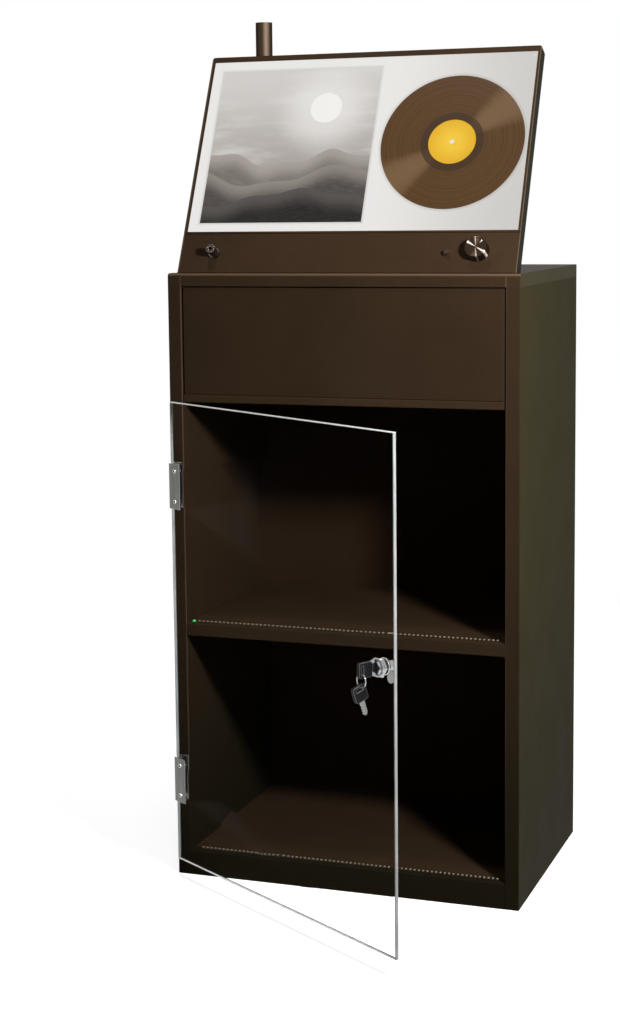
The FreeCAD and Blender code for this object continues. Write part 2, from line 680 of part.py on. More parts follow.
def light_strip(node, level):
    """A flexible strip of lamp chips stuck down behind the front edge."""
    body = document.addObject("PartDesign::Body", node)
    left = "side_thickness + strip_margin"
    ribbon = sketch_on(body, node + "_ribbon", "xy", level)
    right = "right_inner_face - strip_margin"
    rear = "strip_setback + strip_width"
    draw_outline(ribbon, rectangle(left, "strip_setback", right, rear))
    pad(body, ribbon, "strip_thickness", node + "_ribbon_pad")
    first = "cabinet_width / 2 - chip_pitch * (chip_count - 1) / 2 - chip_size / 2"
    front = "strip_setback + strip_width / 2 - chip_size / 2"
    chip = sketch_on(body, node + "_chip", "xy", level + " + strip_thickness")
    draw_outline(chip, rectangle(first, front, first + " + chip_size",
                                 front + " + chip_size"))
    chip_pad = pad(body, chip, "chip_height", node + "_chip_pad")
    row = body.newObject("PartDesign::LinearPattern", node + "_row")
    row.Originals = [chip_pad]
    row.Direction = (chip, ["H_Axis"])
    bind(row, "Length", "chip_pitch * (chip_count - 1)")
    bind(row, "Occurrences", "chip_count")
    body.Tip = row
    finish(body, node, "cabinet")


def pilot_lamp():
    spot = ("side_thickness + pilot_inset", "strip_setback + strip_width / 2")
    stem = cylinder("pilot_stem", "pilot_radius", "pilot_stem_length",
                    spot + ("shelf_top - pilot_stem_length",))
    flange = cylinder("pilot_flange", "pilot_flange_radius", "pilot_flange_height",
                      spot + ("shelf_top",))
    dome = sphere("pilot_dome", "pilot_radius", spot + ("shelf_top + pilot_flange_height",))
    finish(fuse("pilot_solid", [stem, flange, dome]), "pilot_lamp", "cabinet")


# ---------------------------------------------------------------- door and hinges

HINGE_LEVELS = {"upper": "(door_height - hinge_end_inset)", "lower": "(hinge_end_inset)"}


def leaf_plate(name, level, plate_y, width):
    """The flat plate of a leaf, with its free corners rounded."""
    start = "knuckle_radius + leaf_relief"
    plate = slab(name + "_plate", (start, plate_y, level + " - leaf_height / 2"),
                 (width + " - knuckle_radius - leaf_relief", "leaf_thickness",
                  "leaf_height"))
    corners = lies_at(x=width)
    round_edges(plate, "edge_radius", lambda edge: corners(edge)
                and edge.BoundBox.YLength > value("leaf_thickness") / 2)
    return plate


def knuckles(name, spans, root_y):
    """The knuckles that a leaf carries, each with the root that joins it to the leaf."""
    pieces = []
    for i, (low, length) in enumerate(spans):
        pieces.append(cylinder("%s_knuckle_%d" % (name, i), "knuckle_radius", length,
                               ("0", "0", low)))
        pieces.append(box("%s_root_%d" % (name, i), ("0", root_y, low),
                          ("knuckle_radius + leaf_relief + leaf_thickness",
                           "leaf_thickness", length)))
    return pieces


def pin_bore(name, level):
    return cylinder(name + "_bore", "hinge_pin_radius + pin_clearance", "leaf_height",
                    ("0", "0", level + " - leaf_height / 2"))


def frame_leaf(name, level, tools):
    """The leaf screwed to the side board, with the two outer knuckles."""
    plate_y = "knuckle_radius - leaf_thickness"
    end_length = "(leaf_height - middle_knuckle_length) / 2 - knuckle_gap"
    spans = [(level + " - leaf_height / 2", end_length),
             (level + " + middle_knuckle_length / 2 + knuckle_gap", end_length)]
    pieces = [leaf_plate(name, level, plate_y, "frame_leaf_width")]
    pieces += knuckles(name, spans, plate_y)
    return cut(name + "_solid", fuse(name + "_metal", pieces), [pin_bore(name, level)] + tools)


def door_leaf(name, level, tools):
    """The leaf cranked round the edge of the glass onto its outer face."""
    spans = [(level + " - middle_knuckle_length / 2", "middle_knuckle_length")]
    web = slab(name + "_web", ("knuckle_radius + leaf_relief", "leaf_face",
                               level + " - leaf_height / 2"),
               ("leaf_thickness", "leaf_thickness - knuckle_radius - leaf_face",
                "leaf_height"))
    pieces = [leaf_plate(name, level, "leaf_face", "door_leaf_width"), web]
    pieces += knuckles(name, spans, "-knuckle_radius")
    return cut(name + "_solid", fuse(name + "_metal", pieces), [pin_bore(name, level)] + tools)


def hinge_spots(x, y):
    return {place: [(x, y, level + sign + "hinge_screw_spacing / 2") for sign in (" - ", " + ")]
            for place, level in HINGE_LEVELS.items()}


def frame_side_of_hinges():
    """Leaves, pins and screws on the cabinet side. Returns holes for the side board."""
    spots = hinge_spots("frame_screw_inset", "knuckle_radius - leaf_thickness")
    screws = []
    holes = []
    pins = []
    for place, level in HINGE_LEVELS.items():
        found, drilled = wood_screws(place + "_leaf_screw", spots[place], "+y")
        screws += found
        holes += drilled
        finish(frame_leaf(place + "_frame_leaf", level, drilled),
               place + "_hinge_frame_leaf", "hinge")
        foot = level + " - leaf_height / 2"
        pin = [cylinder(place + "_pin", "hinge_pin_radius", "leaf_height", ("0", "0", foot)),
               cylinder(place + "_pin_top", "hinge_pin_head_radius", "hinge_pin_head_height",
                        ("0", "0", level + " + leaf_height / 2")),
               cylinder(place + "_pin_foot", "hinge_pin_head_radius",
                        "hinge_pin_head_height",
                        ("0", "0", foot + " - hinge_pin_head_height"))]
        pins.append(fuse(place + "_pin_solid", pin))
    finish(group("leaf_screw_set", screws), "hinge_frame_screws", "hinge")
    finish(group("pin_set", pins), "hinge_pins", "hinge")
    shift = ("hinge_axis_inset", "-knuckle_radius", "door_bottom")
    return group("side_board_hinge_holes", holes, shift)


def door_side_of_hinges():
    """Leaves, pads and bolts that carry the glass. Returns the bolt holes in the glass."""
    spots = hinge_spots("glass_bolt_inset", "leaf_face")
    bolts = []
    pads = []
    glass_holes = []
    for place, level in HINGE_LEVELS.items():
        leaf_holes = []
        for i, spot in enumerate(spots[place]):
            name = "%s_bolt_%d" % (place, i)
            reach = "leaf_thickness + glass_pad_thickness + door_thickness"
            rear = (spot[0], "glass_inner", spot[2])
            head = cylinder(name + "_head", "glass_bolt_head_radius",
                            "glass_bolt_head_height", spot, "-y")
            shank = cylinder(name + "_shank", "glass_bolt_radius", reach, spot, "+y")
            nut = cylinder(name + "_nut", "glass_nut_radius", "glass_nut_height", rear, "+y")
            bolts.append(fuse(name, [head, shank, nut]))
            leaf_holes.append(cylinder(name + "_leaf_hole",
                                       "glass_bolt_radius + screw_clearance", reach, spot,
                                       "+y"))
            glass_holes.append(cylinder(name + "_glass_hole", "glass_hole_radius",
                                        "door_thickness", (spot[0], "glass_outer", spot[2]),
                                        "+y"))
        finish(door_leaf(place + "_door_leaf", level, leaf_holes),
               place + "_hinge_door_leaf", "door")
        pad_blank = slab(place + "_pad_blank",
                         ("door_edge_gap + glass_pad_inset",
                          "glass_outer - glass_pad_thickness", level + " - leaf_height / 2"),
                         ("door_leaf_width - door_edge_gap - glass_pad_inset",
                          "glass_pad_thickness", "leaf_height"))
        pads.append(cut(place + "_pad", pad_blank, leaf_holes))
    finish(group("bolt_set", bolts), "hinge_glass_bolts", "door")
    finish(group("pad_set", pads), "hinge_glass_pads", "door")
    return glass_holes


def door_glass(bolt_holes):
    body = slab("glass_blank", ("door_edge_gap", "glass_outer", "0"),
                ("door_width", "door_thickness", "door_height"))
    outside = lies_at(y="glass_outer")
    inside = lies_at(y="glass_inner")
    dress_edges(body, "Chamfer", "glass_chamfer",
                lambda edge: outside(edge) or inside(edge), "Arris")
    lock_hole = cylinder("glass_lock_hole", "lock_shank_radius + lock_hole_clearance",
                         "door_thickness", ("lock_along_door", "glass_outer",
                                            "lock_above_door"), "+y")
    finish(cut("glass_solid", body, bolt_holes + [lock_hole]), "door_glass", "door")


# ---------------------------------------------------------------- cam lock

LOCK_AXIS = ("lock_along_door", "0", "lock_above_door")


def lock_body():
    barrel = cylinder("lock_barrel", "lock_barrel_radius", "lock_barrel_length",
                      ("0", "lock_front", "0"), "+y")
    shank = cylinder("lock_shank", "lock_shank_radius", "door_thickness + lock_shank_length",
                     ("0", "glass_outer", "0"), "+y")
    bore = cylinder("lock_bore", "plug_radius + lock_fit",
                    "lock_rear - lock_front", ("0", "lock_front", "0"), "+y")
    mouth = cone("lock_mouth", "plug_radius + lock_mouth_flare", "plug_radius + lock_fit",
                 "lock_mouth_depth", ("0", "lock_front", "0"), "+y")
    solid = cut("lock_body_solid", fuse("lock_body_metal", [barrel, shank]), [bore, mouth])
    finish(solid, "lock_body", "door", LOCK_AXIS)


def lock_bezel():
    hexagon = document.addObject("Part::Prism", "bezel_hexagon")
    hexagon.Polygon = 6
    hexagon.Placement = FreeCAD.Placement(Vector(), TURN_FROM_Z["+y"])
    bind(hexagon, "Circumradius", "bezel_across_flats / 2 / cos(30)")
    bind(hexagon, "Height", "bezel_thickness")
    bind_base(hexagon, ("0", "glass_outer - bezel_thickness", "0"))
    flare = cone("bezel_flare", "bezel_across_flats / 2",
                 "bezel_across_flats / 2 + bezel_bevel", "bezel_thickness",
                 ("0", "glass_outer - bezel_thickness", "0"), "+y")
    eased = document.addObject("Part::MultiCommon", "bezel_eased")
    eased.Shapes = [hexagon, flare]
    bore = cylinder("bezel_bore", "lock_barrel_radius + lock_fit", "bezel_thickness",
                    ("0", "glass_outer - bezel_thickness", "0"), "+y")
    finish(cut("bezel_solid", eased, [bore]), "lock_bezel", "door", LOCK_AXIS)


def lock_nut():
    ring = cylinder("lock_nut_ring", "lock_nut_radius", "lock_nut_thickness",
                    ("0", "glass_inner", "0"), "+y")
    bore = cylinder("lock_nut_bore", "lock_shank_radius + lock_fit", "lock_nut_thickness",
                    ("0", "glass_inner", "0"), "+y")
    finish(cut("lock_nut_solid", ring, [bore]), "lock_nut", "door", LOCK_AXIS)


def lock_plug():
    core = cylinder("plug_core", "plug_radius", "lock_rear - plug_front",
                    ("0", "plug_front", "0"), "+y")
    tail = cylinder("plug_tail", "plug_tail_radius", "cam_thickness",
                    ("0", "lock_rear", "0"), "+y")
    keyway = box("plug_keyway", ("-keyway_width / 2", "plug_front", "-keyway_height / 2"),
                 ("keyway_width", "keyway_depth", "keyway_height"))
    thread = cylinder("plug_thread", "cam_screw_radius + screw_clearance",
                      "cam_screw_length", ("0", "lock_rear + cam_thickness", "0"), "-y")
    solid = cut("plug_solid", fuse("plug_metal", [core, tail]), [keyway, thread])
    finish(solid, "lock_plug", "door", LOCK_AXIS)


def lock_cam():
    half = "cam_width / 2"
    hub = cylinder("cam_hub", half, "cam_thickness", ("0", "lock_rear", "0"), "+y")
    tip = cylinder("cam_tip", half, "cam_thickness",
                   ("0", "lock_rear", "cam_width / 2 - cam_reach"), "+y")
    arm = box("cam_arm", ("-cam_width / 2", "lock_rear", "cam_width / 2 - cam_reach"),
              ("cam_width", "cam_thickness", "cam_reach - cam_width / 2"))
    hole = cylinder("cam_hole", "plug_tail_radius + lock_fit", "cam_thickness",
                    ("0", "lock_rear", "0"), "+y")
    finish(cut("cam_solid", fuse("cam_plate", [hub, tip, arm]), [hole]), "lock_cam", "door",
           LOCK_AXIS)


def cam_screw():
    face = ("0", "lock_rear + cam_thickness", "0")
    head = cylinder("cam_screw_head", "cam_screw_head_radius", "cam_screw_head_height", face,
                    "+y")
    shank = cylinder("cam_screw_shank", "cam_screw_radius", "cam_screw_length", face, "-y")
    finish(fuse("cam_screw_solid", [head, shank]), "cam_screw", "door", LOCK_AXIS)


def strike_plate():
    """The keeper for the cam, let into the right side board. Returns the cuts it needs."""
    foot = "lock_height - cam_reach - strike_end"
    top = "lock_height + cam_width / 2 + strike_end"
    blank = slab("strike_blank", ("right_inner_face", "strike_front", foot),
                 ("strike_thickness", "strike_width", top + " - (%s)" % foot))
    mouth = ("right_inner_face", "cam_closed_y - strike_clearance",
             "lock_height - cam_reach - strike_clearance")
    gap = ("cam_thickness + 2 * strike_clearance",
           "cam_reach + cam_width / 2 + 2 * strike_clearance")
    depth = "lock_closed_x + cam_reach + strike_clearance - right_inner_face"
    mortise = box("cam_mortise", mouth, (depth,) + gap)
    recess = box("strike_recess", ("right_inner_face", "strike_front", foot),
                 ("strike_thickness", "strike_width", top + " - (%s)" % foot))
    middle = "strike_front + strike_width / 2"
    spots = [("right_inner_face", middle, foot + " + strike_screw_inset"),
             ("right_inner_face", middle, top + " - strike_screw_inset")]
    screws, holes = wood_screws("strike_screw", spots, "+x")
    finish(cut("strike_solid", blank, [mortise] + holes), "strike_plate", "cabinet")
    finish(group("strike_screw_pair", screws), "strike_screws", "cabinet")
    return [mortise, recess] + holes


# ---------------------------------------------------------------- keys

def key_blade(name):
    """A notched blade along +Y, from inside the key's head to its tip.

    The key's own origin is the middle of the ring slot."""
    head_front = "key_head_length - key_slot_inset - key_slot_width / 2"
    start = head_front + " - blade_in_head"
    face = head_front + " + blade_neck"
    tip = head_front + " + blade_neck + blade_insertion"
    top = "blade_height / 2"
    foot = "-blade_height / 2"
    notch = "-blade_height / 2 + key_notch_depth"
    outline = [(start, foot), (start, top), (tip + " - key_tip_length", top), (tip, "0"),
               (tip + " - key_tip_length", foot)]
    for share in ("0.65", "0.42", "0.19"):
        centre = "%s + blade_insertion * %s" % (face, share)
        outline += [(centre + " + key_notch_half_width", foot), (centre, notch),
                    (centre + " - key_notch_half_width", foot)]
    return prism(name, "yz", outline, "-blade_thickness / 2", "blade_thickness")


def key_head(name):
    """The moulded head, with the slot for the ring and the socket of the blade."""
    outer = "-key_slot_inset - key_slot_width / 2"
    head_front = "key_head_length - key_slot_inset - key_slot_width / 2"
    blank = prism(name + "_blank", "yz",
                  rectangle(outer, "-key_head_width / 2", head_front, "key_head_width / 2"),
                  "-key_head_thickness / 2", "key_head_thickness")
    round_edges(blank, "key_head_radius",
                lambda edge: edge.BoundBox.XLength > value("key_head_thickness") / 2)
    slot = box(name + "_slot",
               ("-key_head_thickness", "-key_slot_width / 2", "-key_slot_height / 2"),
               ("2 * key_head_thickness", "key_slot_width", "key_slot_height"))
    socket = box(name + "_socket",
                 ("-blade_thickness / 2", head_front + " - blade_in_head",
                  "-blade_height / 2"),
                 ("blade_thickness", "blade_in_head", "blade_height"))
    return cut(name + "_solid", blank, [slot, socket])


KEY_HEAD_FRONT = "plug_front - blade_neck"
KEY_ORIGIN_Y = KEY_HEAD_FRONT + " - (key_head_length - key_slot_inset - key_slot_width / 2)"
RING_TOP_Z = "-key_slot_height / 2 + ring_wire_radius + ring_sag + ring_seat_gap"
RING_BOTTOM_Z = RING_TOP_Z + " - 2 * ring_radius"


def key_in_lock():
    spot = ("lock_along_door", KEY_ORIGIN_Y, "lock_above_door")
    finish(key_blade("working_blade"), "key_blade", "door", spot)
    finish(key_head("working_head"), "key_head", "door", spot)


def key_ring():
    body = document.addObject("PartDesign::Body", "ring_body")
    sketch = sketch_on(body, "ring_section", "xy")
    draw_circle(sketch, ("ring_radius", "0"), "ring_wire_radius")
    turn = body.newObject("PartDesign::Revolution", "ring_turn")
    turn.Profile = sketch
    turn.ReferenceAxis = (sketch, ["V_Axis"])
    turn.Angle = 360
    spot = ("lock_along_door", KEY_ORIGIN_Y,
            "lock_above_door + (%s) - ring_radius" % RING_TOP_Z)
    finish(body, "key_ring", "door", spot)


def spare_key():
    """A second key, hung from the ring by one end of its slot, blade down."""
    pivot_y = "-key_slot_width / 2 + ring_wire_radius + ring_sag + ring_seat_gap"
    pivot_z = "(key_slot_height / 2 - ring_wire_radius - ring_seat_gap)"
    turn = "(90 - spare_key_tilt)"
    spot = ("lock_along_door", KEY_ORIGIN_Y, "lock_above_door + " + RING_BOTTOM_Z)
    for node, shape in (("spare_key_blade", key_blade("hanging_blade")),
                        ("spare_key_head", key_head("hanging_head"))):
        shape.Placement = FreeCAD.Placement(Vector(), Rotation(Vector(-1, 0, 0), 70))
        bind(shape, "Placement.Rotation.Angle", turn)
        bind(shape, "Placement.Base.y",
             "-(%s) * cos(%s) - %s * sin(%s)" % (pivot_y, turn, pivot_z, turn))
        bind(shape, "Placement.Base.z",
             "(%s) * sin(%s) - %s * cos(%s)" % (pivot_y, turn, pivot_z, turn))
        finish(group(node + "_hung", [shape]), node, "door", spot)


# ---------------------------------------------------------------- display head

def display_housing():
    outer = prism("housing_outer", "yz",
                  [("0", "0"), ("0", "display_length"), ("display_depth", "display_length"),
                   ("display_depth", "display_depth * tan(display_tilt)")],
                  "0", "display_width")
    top = lies_at(z="display_length")
    round_edges(outer, "display_corner_radius", lambda edge: top(edge)
                and edge.BoundBox.YLength > value("display_depth") / 2)
    rear = "display_depth - sheet_thickness"
    roof = "display_length - sheet_thickness"
    hollow = prism("housing_hollow", "yz",
                   [("-face_thickness", "head_floor - face_thickness * tan(display_tilt)"),
                    ("-face_thickness", roof), (rear, roof),
                    (rear, "head_floor + (%s) * tan(display_tilt)" % rear)],
                   "sheet_thickness", "display_width - 2 * sheet_thickness")
    cable_hole = cylinder("head_cable_hole", "cable_hole_radius", "display_depth",
                          ("display_width / 2", "display_depth / 2", "0"))
    first = "display_width / 2 - head_vent_pitch * 4.5 - head_vent_width / 2"
    vents = [box("head_vent_%d" % i,
                 (first + " + head_vent_pitch * %d" % i, rear,
                  "display_length - head_vent_drop - head_vent_height"),
                 ("head_vent_width", "sheet_thickness", "head_vent_height"))
             for i in range(10)]
    finish(cut("housing_solid", outer, [hollow, cable_hole] + vents), "display_housing",
           "display")


def display_bezel():
    foot = "control_panel_length + panel_seam"
    blank = slab("bezel_blank", ("0", "-face_thickness", foot),
                 ("display_width", "face_thickness", "display_length - (%s)" % foot))
    top = lies_at(z="display_length")
    round_edges(blank, "display_corner_radius", lambda edge: top(edge)
                and edge.BoundBox.YLength > value("face_thickness") / 2)
    window = box("bezel_window",
                 ("(display_width - screen_width) / 2", "-2 * face_thickness",
                  "window_bottom"),
                 ("screen_width", "3 * face_thickness", "screen_length"))
    finish(cut("bezel_frame", blank, [window]), "display_bezel", "display")


def screen_layers():
    """Cover glass, picture panel and backlight, one behind the other."""
    left = "sheet_thickness + screen_fit"
    foot = "window_bottom - screen_overlap"
    size_x = "display_width - 2 * (%s)" % left
    size_z = "display_length - sheet_thickness - screen_fit - (%s)" % foot
    layers = [("screen_glass", "0", "cover_glass_thickness"),
              ("screen_panel", "cover_glass_thickness", "screen_panel_thickness"),
              ("backlight_tray", "cover_glass_thickness + screen_panel_thickness",
               "backlight_thickness")]
    for node, front, thickness in layers:
        finish(slab(node, (left, front, foot), (size_x, thickness, size_z)), node, "display")
    tray_back = "cover_glass_thickness + screen_panel_thickness + backlight_thickness"
    posts = [cylinder("screen_post_%d" % i, "standoff_radius",
                      "display_depth - sheet_thickness - (%s)" % tray_back,
                      (x, tray_back, z), "+y")
             for i, (x, z) in enumerate(
                 (x, z) for x in ("standoff_inset", "display_width - standoff_inset")
                 for z in ("window_bottom + standoff_inset",
                           "display_length - standoff_inset"))]
    finish(group("standoff_set", posts), "screen_standoffs", "display")


KNOB_SPOT = ("display_width - knob_right_inset", "-face_thickness", "knob_rise")
BUTTON_SPOT = ("display_width - button_right_inset", "-face_thickness", "button_rise")
SOCKET_SPOT = ("socket_left_inset", "-face_thickness", "socket_rise")


def control_panel():
    blank = slab("control_blank", ("0", "-face_thickness", "0"),
                 ("display_width", "face_thickness", "control_panel_length"))
    radii = ("bush_radius", "button_barrel_radius", "socket_neck_radius")
    holes = [cylinder("panel_hole_%d" % i, radius + " + panel_hole_clearance",
                      "face_thickness", spot, "+y")
             for i, (radius, spot) in enumerate(
                 zip(radii, (KNOB_SPOT, BUTTON_SPOT, SOCKET_SPOT)))]
    finish(cut("control_solid", blank, holes), "control_panel", "display")


def display_brackets(holes):
    """Two bent brackets that carry the head's back on the top board."""
    def on_head(depth, rise):
        return ("display_setback + (%s) * cos(display_tilt) + (%s) * sin(display_tilt)"
                % (depth, rise),
                "cabinet_height - (%s) * sin(display_tilt) + (%s) * cos(display_tilt)"
                % (depth, rise))
    heel = "display_setback + display_depth / cos(display_tilt)"
    toe = "display_setback + bracket_foot"
    outer = "display_depth + bracket_thickness"
    sides = []
    for side, plate_x, flange_x in (
            ("left", "bracket_inset", "bracket_inset"),
            ("right", "cabinet_width - bracket_inset - bracket_thickness",
             "cabinet_width - bracket_inset - bracket_flange")):
        plate = prism(side + "_bracket_plate", "yz",
                      [(heel, "cabinet_height"), (toe, "cabinet_height"),
                       on_head("display_depth", "bracket_rise")],
                      plate_x, "bracket_thickness")
        face = prism(side + "_bracket_face", "yz",
                     [on_head("display_depth", "bracket_flange_start"),
                      on_head(outer, "bracket_flange_start"),
                      on_head(outer, "bracket_rise - bracket_flange_drop"),
                      on_head("display_depth", "bracket_rise - bracket_flange_drop")],
                     flange_x, "bracket_flange")
        foot = box(side + "_bracket_foot",
                   (flange_x, heel + " + bracket_heel_gap", "cabinet_height"),
                   ("bracket_flange", toe + " - (%s) - bracket_heel_gap" % heel,
                    "bracket_thickness"))
        sides.append(cut(side + "_bracket", fuse(side + "_bracket_metal",
                                                 [plate, face, foot]), holes))
    finish(group("bracket_pair", sides), "display_brackets", "cabinet")


def bracket_screw_spots():
    middle = "(bracket_flange + bracket_thickness) / 2"
    columns = ["bracket_inset + " + middle, "cabinet_width - bracket_inset - " + middle]
    return [(x, "display_setback + " + y, "cabinet_height + bracket_thickness")
            for x in columns for y in ("bracket_screw_front", "bracket_screw_back")]


# ---------------------------------------------------------------- controls

def volume_knob():
    """The knob is turned about its own Z axis and then laid along the panel's normal."""
    dish_edge = "knob_top_radius - 2 * knob_edge_radius"
    blank = turned("knob_turned",
                   [("shaft_radius", "knob_gap"), ("knob_radius", "knob_gap"),
                    ("knob_top_radius", "knob_height"), (dish_edge, "knob_height"),
                    (dish_edge + " - knob_dish", "knob_height - knob_dish"),
                    ("0", "knob_height - knob_dish"), ("0", "shaft_reach"),
                    ("shaft_radius", "shaft_reach")])
    rim = value("knob_height")
    round_edges(blank, "knob_edge_radius",
                lambda edge: edge.BoundBox.ZMin > rim - ALIGN_TOLERANCE
                and edge.BoundBox.XMax > value("knob_top_radius") - ALIGN_TOLERANCE)
    hollow = cylinder("knob_hollow", "knob_hollow_radius", "knob_hollow_depth",
                      ("0", "0", "knob_gap"))
    solid = cut("knob_shell", blank, [hollow])
    solid.Placement = FreeCAD.Placement(Vector(), TURN_FROM_Z["-y"])
    finish(group("knob_laid", [solid]), "volume_knob", "display", KNOB_SPOT)


def potentiometer():
    case = cylinder("pot_case", "pot_radius", "pot_length", ("0", "face_thickness", "0"), "+y")
    bush = cylinder("pot_bush", "bush_radius", "bush_length + face_thickness",
                    ("0", "-bush_length", "0"), "+y")
    nut = cylinder("pot_nut", "pot_nut_radius", "pot_nut_thickness",
                   ("0", "-pot_nut_thickness", "0"), "+y")
    tabs = [box("pot_tab_%d" % i,
                ("pot_tab_pitch * (%d) - pot_tab_width / 2" % (i - 1),
                 "face_thickness + pot_tab_setback", "-pot_radius - pot_tab_length"),
                ("pot_tab_width", "pot_tab_thickness", "2 * pot_tab_length"))
            for i in range(3)]
    bore = cylinder("pot_bore", "shaft_radius + shaft_fit",
                    "bush_length + face_thickness + pot_length - pot_back",
                    ("0", "-bush_length", "0"), "+y")
    solid = cut("pot_solid", fuse("pot_metal", [case, bush, nut] + tabs), [bore])
    finish(solid, "potentiometer", "display", KNOB_SPOT)
    shaft = cylinder("shaft_rod", "shaft_radius",
                     "shaft_reach + face_thickness + shaft_depth",
                     ("0", "-shaft_reach", "0"), "+y")
    groove_spot = ("0", "face_thickness + snap_setback", "0")
    ring = cylinder("snap_ring", "shaft_radius + snap_depth", "snap_width", groove_spot, "+y")
    core = cylinder("snap_core", "shaft_radius - snap_depth", "snap_width", groove_spot, "+y")
    snap_groove = cut("snap_groove", ring, [core])
    finish(cut("shaft_solid", shaft, [snap_groove]), "volume_shaft", "display", KNOB_SPOT)


def push_button():
    cap = cylinder("button_cap", "button_radius",
                   "button_bush_height + button_reach + button_depth",
                   ("0", "-button_bush_height - button_reach", "0"), "+y")
    edge_cut = cone("button_bevel", "button_radius - button_edge",
                    "button_radius + button_edge", "2 * button_edge",
                    ("0", "-button_bush_height - button_reach", "0"), "+y")
    core = cylinder("button_core", "button_radius + button_edge",
                    "button_bush_height + button_reach + button_depth - button_edge",
                    ("0", "-button_bush_height - button_reach + button_edge", "0"), "+y")
    envelope = fuse("button_envelope", [edge_cut, core])
    solid = document.addObject("Part::MultiCommon", "button_solid")
    solid.Shapes = [cap, envelope]
    finish(solid, "push_button", "display", BUTTON_SPOT)


def button_bush():
    flange = cylinder("bush_flange", "button_bush_radius", "button_bush_height",
                      ("0", "-button_bush_height", "0"), "+y")
    barrel = cylinder("bush_barrel", "button_barrel_radius",
                      "face_thickness + button_barrel_length + switch_length",
                      ("0", "0", "0"), "+y")
    bore = cylinder("bush_bore", "button_radius + button_fit",
                    "button_bush_height + button_depth + button_travel + button_floor_gap",
                    ("0", "-button_bush_height", "0"), "+y")
    nut = cylinder("bush_nut", "button_barrel_radius + button_nut_rim",
                   "button_nut_thickness", ("0", "face_thickness", "0"), "+y")
    solid = cut("bush_solid", fuse("bush_metal", [flange, barrel, nut]), [bore])
    finish(solid, "button_bush", "display", BUTTON_SPOT)


def headphone_socket():
    barrel = cylinder("socket_barrel", "socket_radius", "socket_reach",
                      ("0", "-socket_reach", "0"), "+y")
    neck = cylinder("socket_neck", "socket_neck_radius",
                    "face_thickness + socket_neck_length", ("0", "0", "0"), "+y")
    bore = cylinder("socket_bore", "socket_bore_radius", "socket_bore_depth",
                    ("0", "-socket_reach", "0"), "+y")
    solid = cut("socket_solid", fuse("socket_metal", [barrel, neck]), [bore])
    finish(solid, "headphone_socket", "display", SOCKET_SPOT)
    ring = cylinder("socket_ring", "socket_nut_radius", "socket_nut_thickness",
                    ("0", "-socket_nut_thickness", "0"), "+y")
    ring_bore = cylinder("socket_ring_bore", "socket_radius + panel_hole_clearance",
                         "socket_nut_thickness", ("0", "-socket_nut_thickness", "0"), "+y")
    finish(cut("socket_nut_solid", ring, [ring_bore]), "socket_nut", "display", SOCKET_SPOT)


# ---------------------------------------------------------------- mast

MAST_X = "mast_side_inset"
MAST_Y = "cabinet_depth - mast_back_inset"


def mast_screw_spots():
    reach = "mast_screw_circle * cos(45)"
    return [("%s %s %s" % (MAST_X, sx, reach), "%s %s %s" % (MAST_Y, sy, reach),
             "cabinet_height + mast_flange_thickness") for sx in "+-" for sy in "+-"]


def mast(holes):
    foot = (MAST_X, MAST_Y, "cabinet_height")
    flange = cylinder("mast_flange", "mast_flange_radius", "mast_flange_thickness", foot)
    tube = cylinder("mast_tube", "mast_radius", "mast_height", foot)
    bore = cylinder("mast_bore", "mast_radius - mast_wall", "mast_height", foot)
    finish(cut("mast_solid", fuse("mast_metal", [flange, tube]), [bore] + holes),
           "mast_post", "cabinet")
    top = (MAST_X, MAST_Y, "cabinet_height + mast_height")
    disc = cylinder("cap_disc", "mast_radius", "cap_thickness", top)
    plug = cylinder("cap_plug", "mast_radius - mast_wall - cap_fit", "cap_plug_length", top,
                    "-z")
    finish(fuse("cap_solid", [disc, plug]), "mast_cap", "cabinet")


# ---------------------------------------------------------------- electronics bay

def power_supply():
    corner = ("supply_left", "supply_setback", "bay_floor_top")
    case = slab("supply_case", corner, ("supply_width", "supply_depth", "supply_height"))
    round_edges(case, "edge_radius", lies_at(z="bay_floor_top + supply_height"))
    terminals = box("supply_terminals",
                    ("supply_left + supply_width", "supply_setback + terminal_inset",
                     "bay_floor_top + terminal_rise"),
                    ("terminal_length", "supply_depth - 2 * terminal_inset",
                     "terminal_height"))
    finish(fuse("supply_solid", [case, terminals]), "power_supply", "cabinet")


def audio_board():
    plate_z = "bay_floor_top + board_post_height"
    plate = box("board_plate", ("board_left", "board_setback", plate_z),
                ("board_width", "board_depth", "board_thickness"))
    posts = [cylinder("board_post_%d_%d" % (i, j), "board_post_radius", "board_post_height",
                      (x, y, "bay_floor_top"))
             for i, x in enumerate(("board_left + board_post_inset",
                                    "board_left + board_width - board_post_inset"))
             for j, y in enumerate(("board_setback + board_post_inset",
                                    "board_setback + board_depth - board_post_inset"))]
    face = plate_z + " + board_thickness"
    sink_x = "board_left + heat_sink_left"
    sink_y = "board_setback + heat_sink_setback"
    fins = [box("heat_sink_fin_%d" % i, (sink_x + " + fin_pitch * %d" % i, sink_y, face),
                ("fin_thickness", "heat_sink_depth", "fin_height")) for i in range(6)]
    sink_base = box("heat_sink_plate", (sink_x, sink_y, face),
                    ("5 * fin_pitch + fin_thickness", "heat_sink_depth", "heat_sink_base"))
    capacitors = [cylinder("capacitor_%d" % i, "capacitor_radius", "capacitor_height",
                           ("board_left + capacitor_left + capacitor_pitch * %d" % i,
                            "board_setback + capacitor_setback", face)) for i in range(3)]
    plug_block = box("board_plugs", ("board_left + board_plug_left",
                                     "board_setback + board_plug_setback", face),
                     ("board_plug_width", "board_plug_depth", "board_plug_height"))
    pieces = [plate, sink_base, plug_block] + posts + fins + capacitors
    finish(fuse("board_solid", pieces), "audio_board", "cabinet")


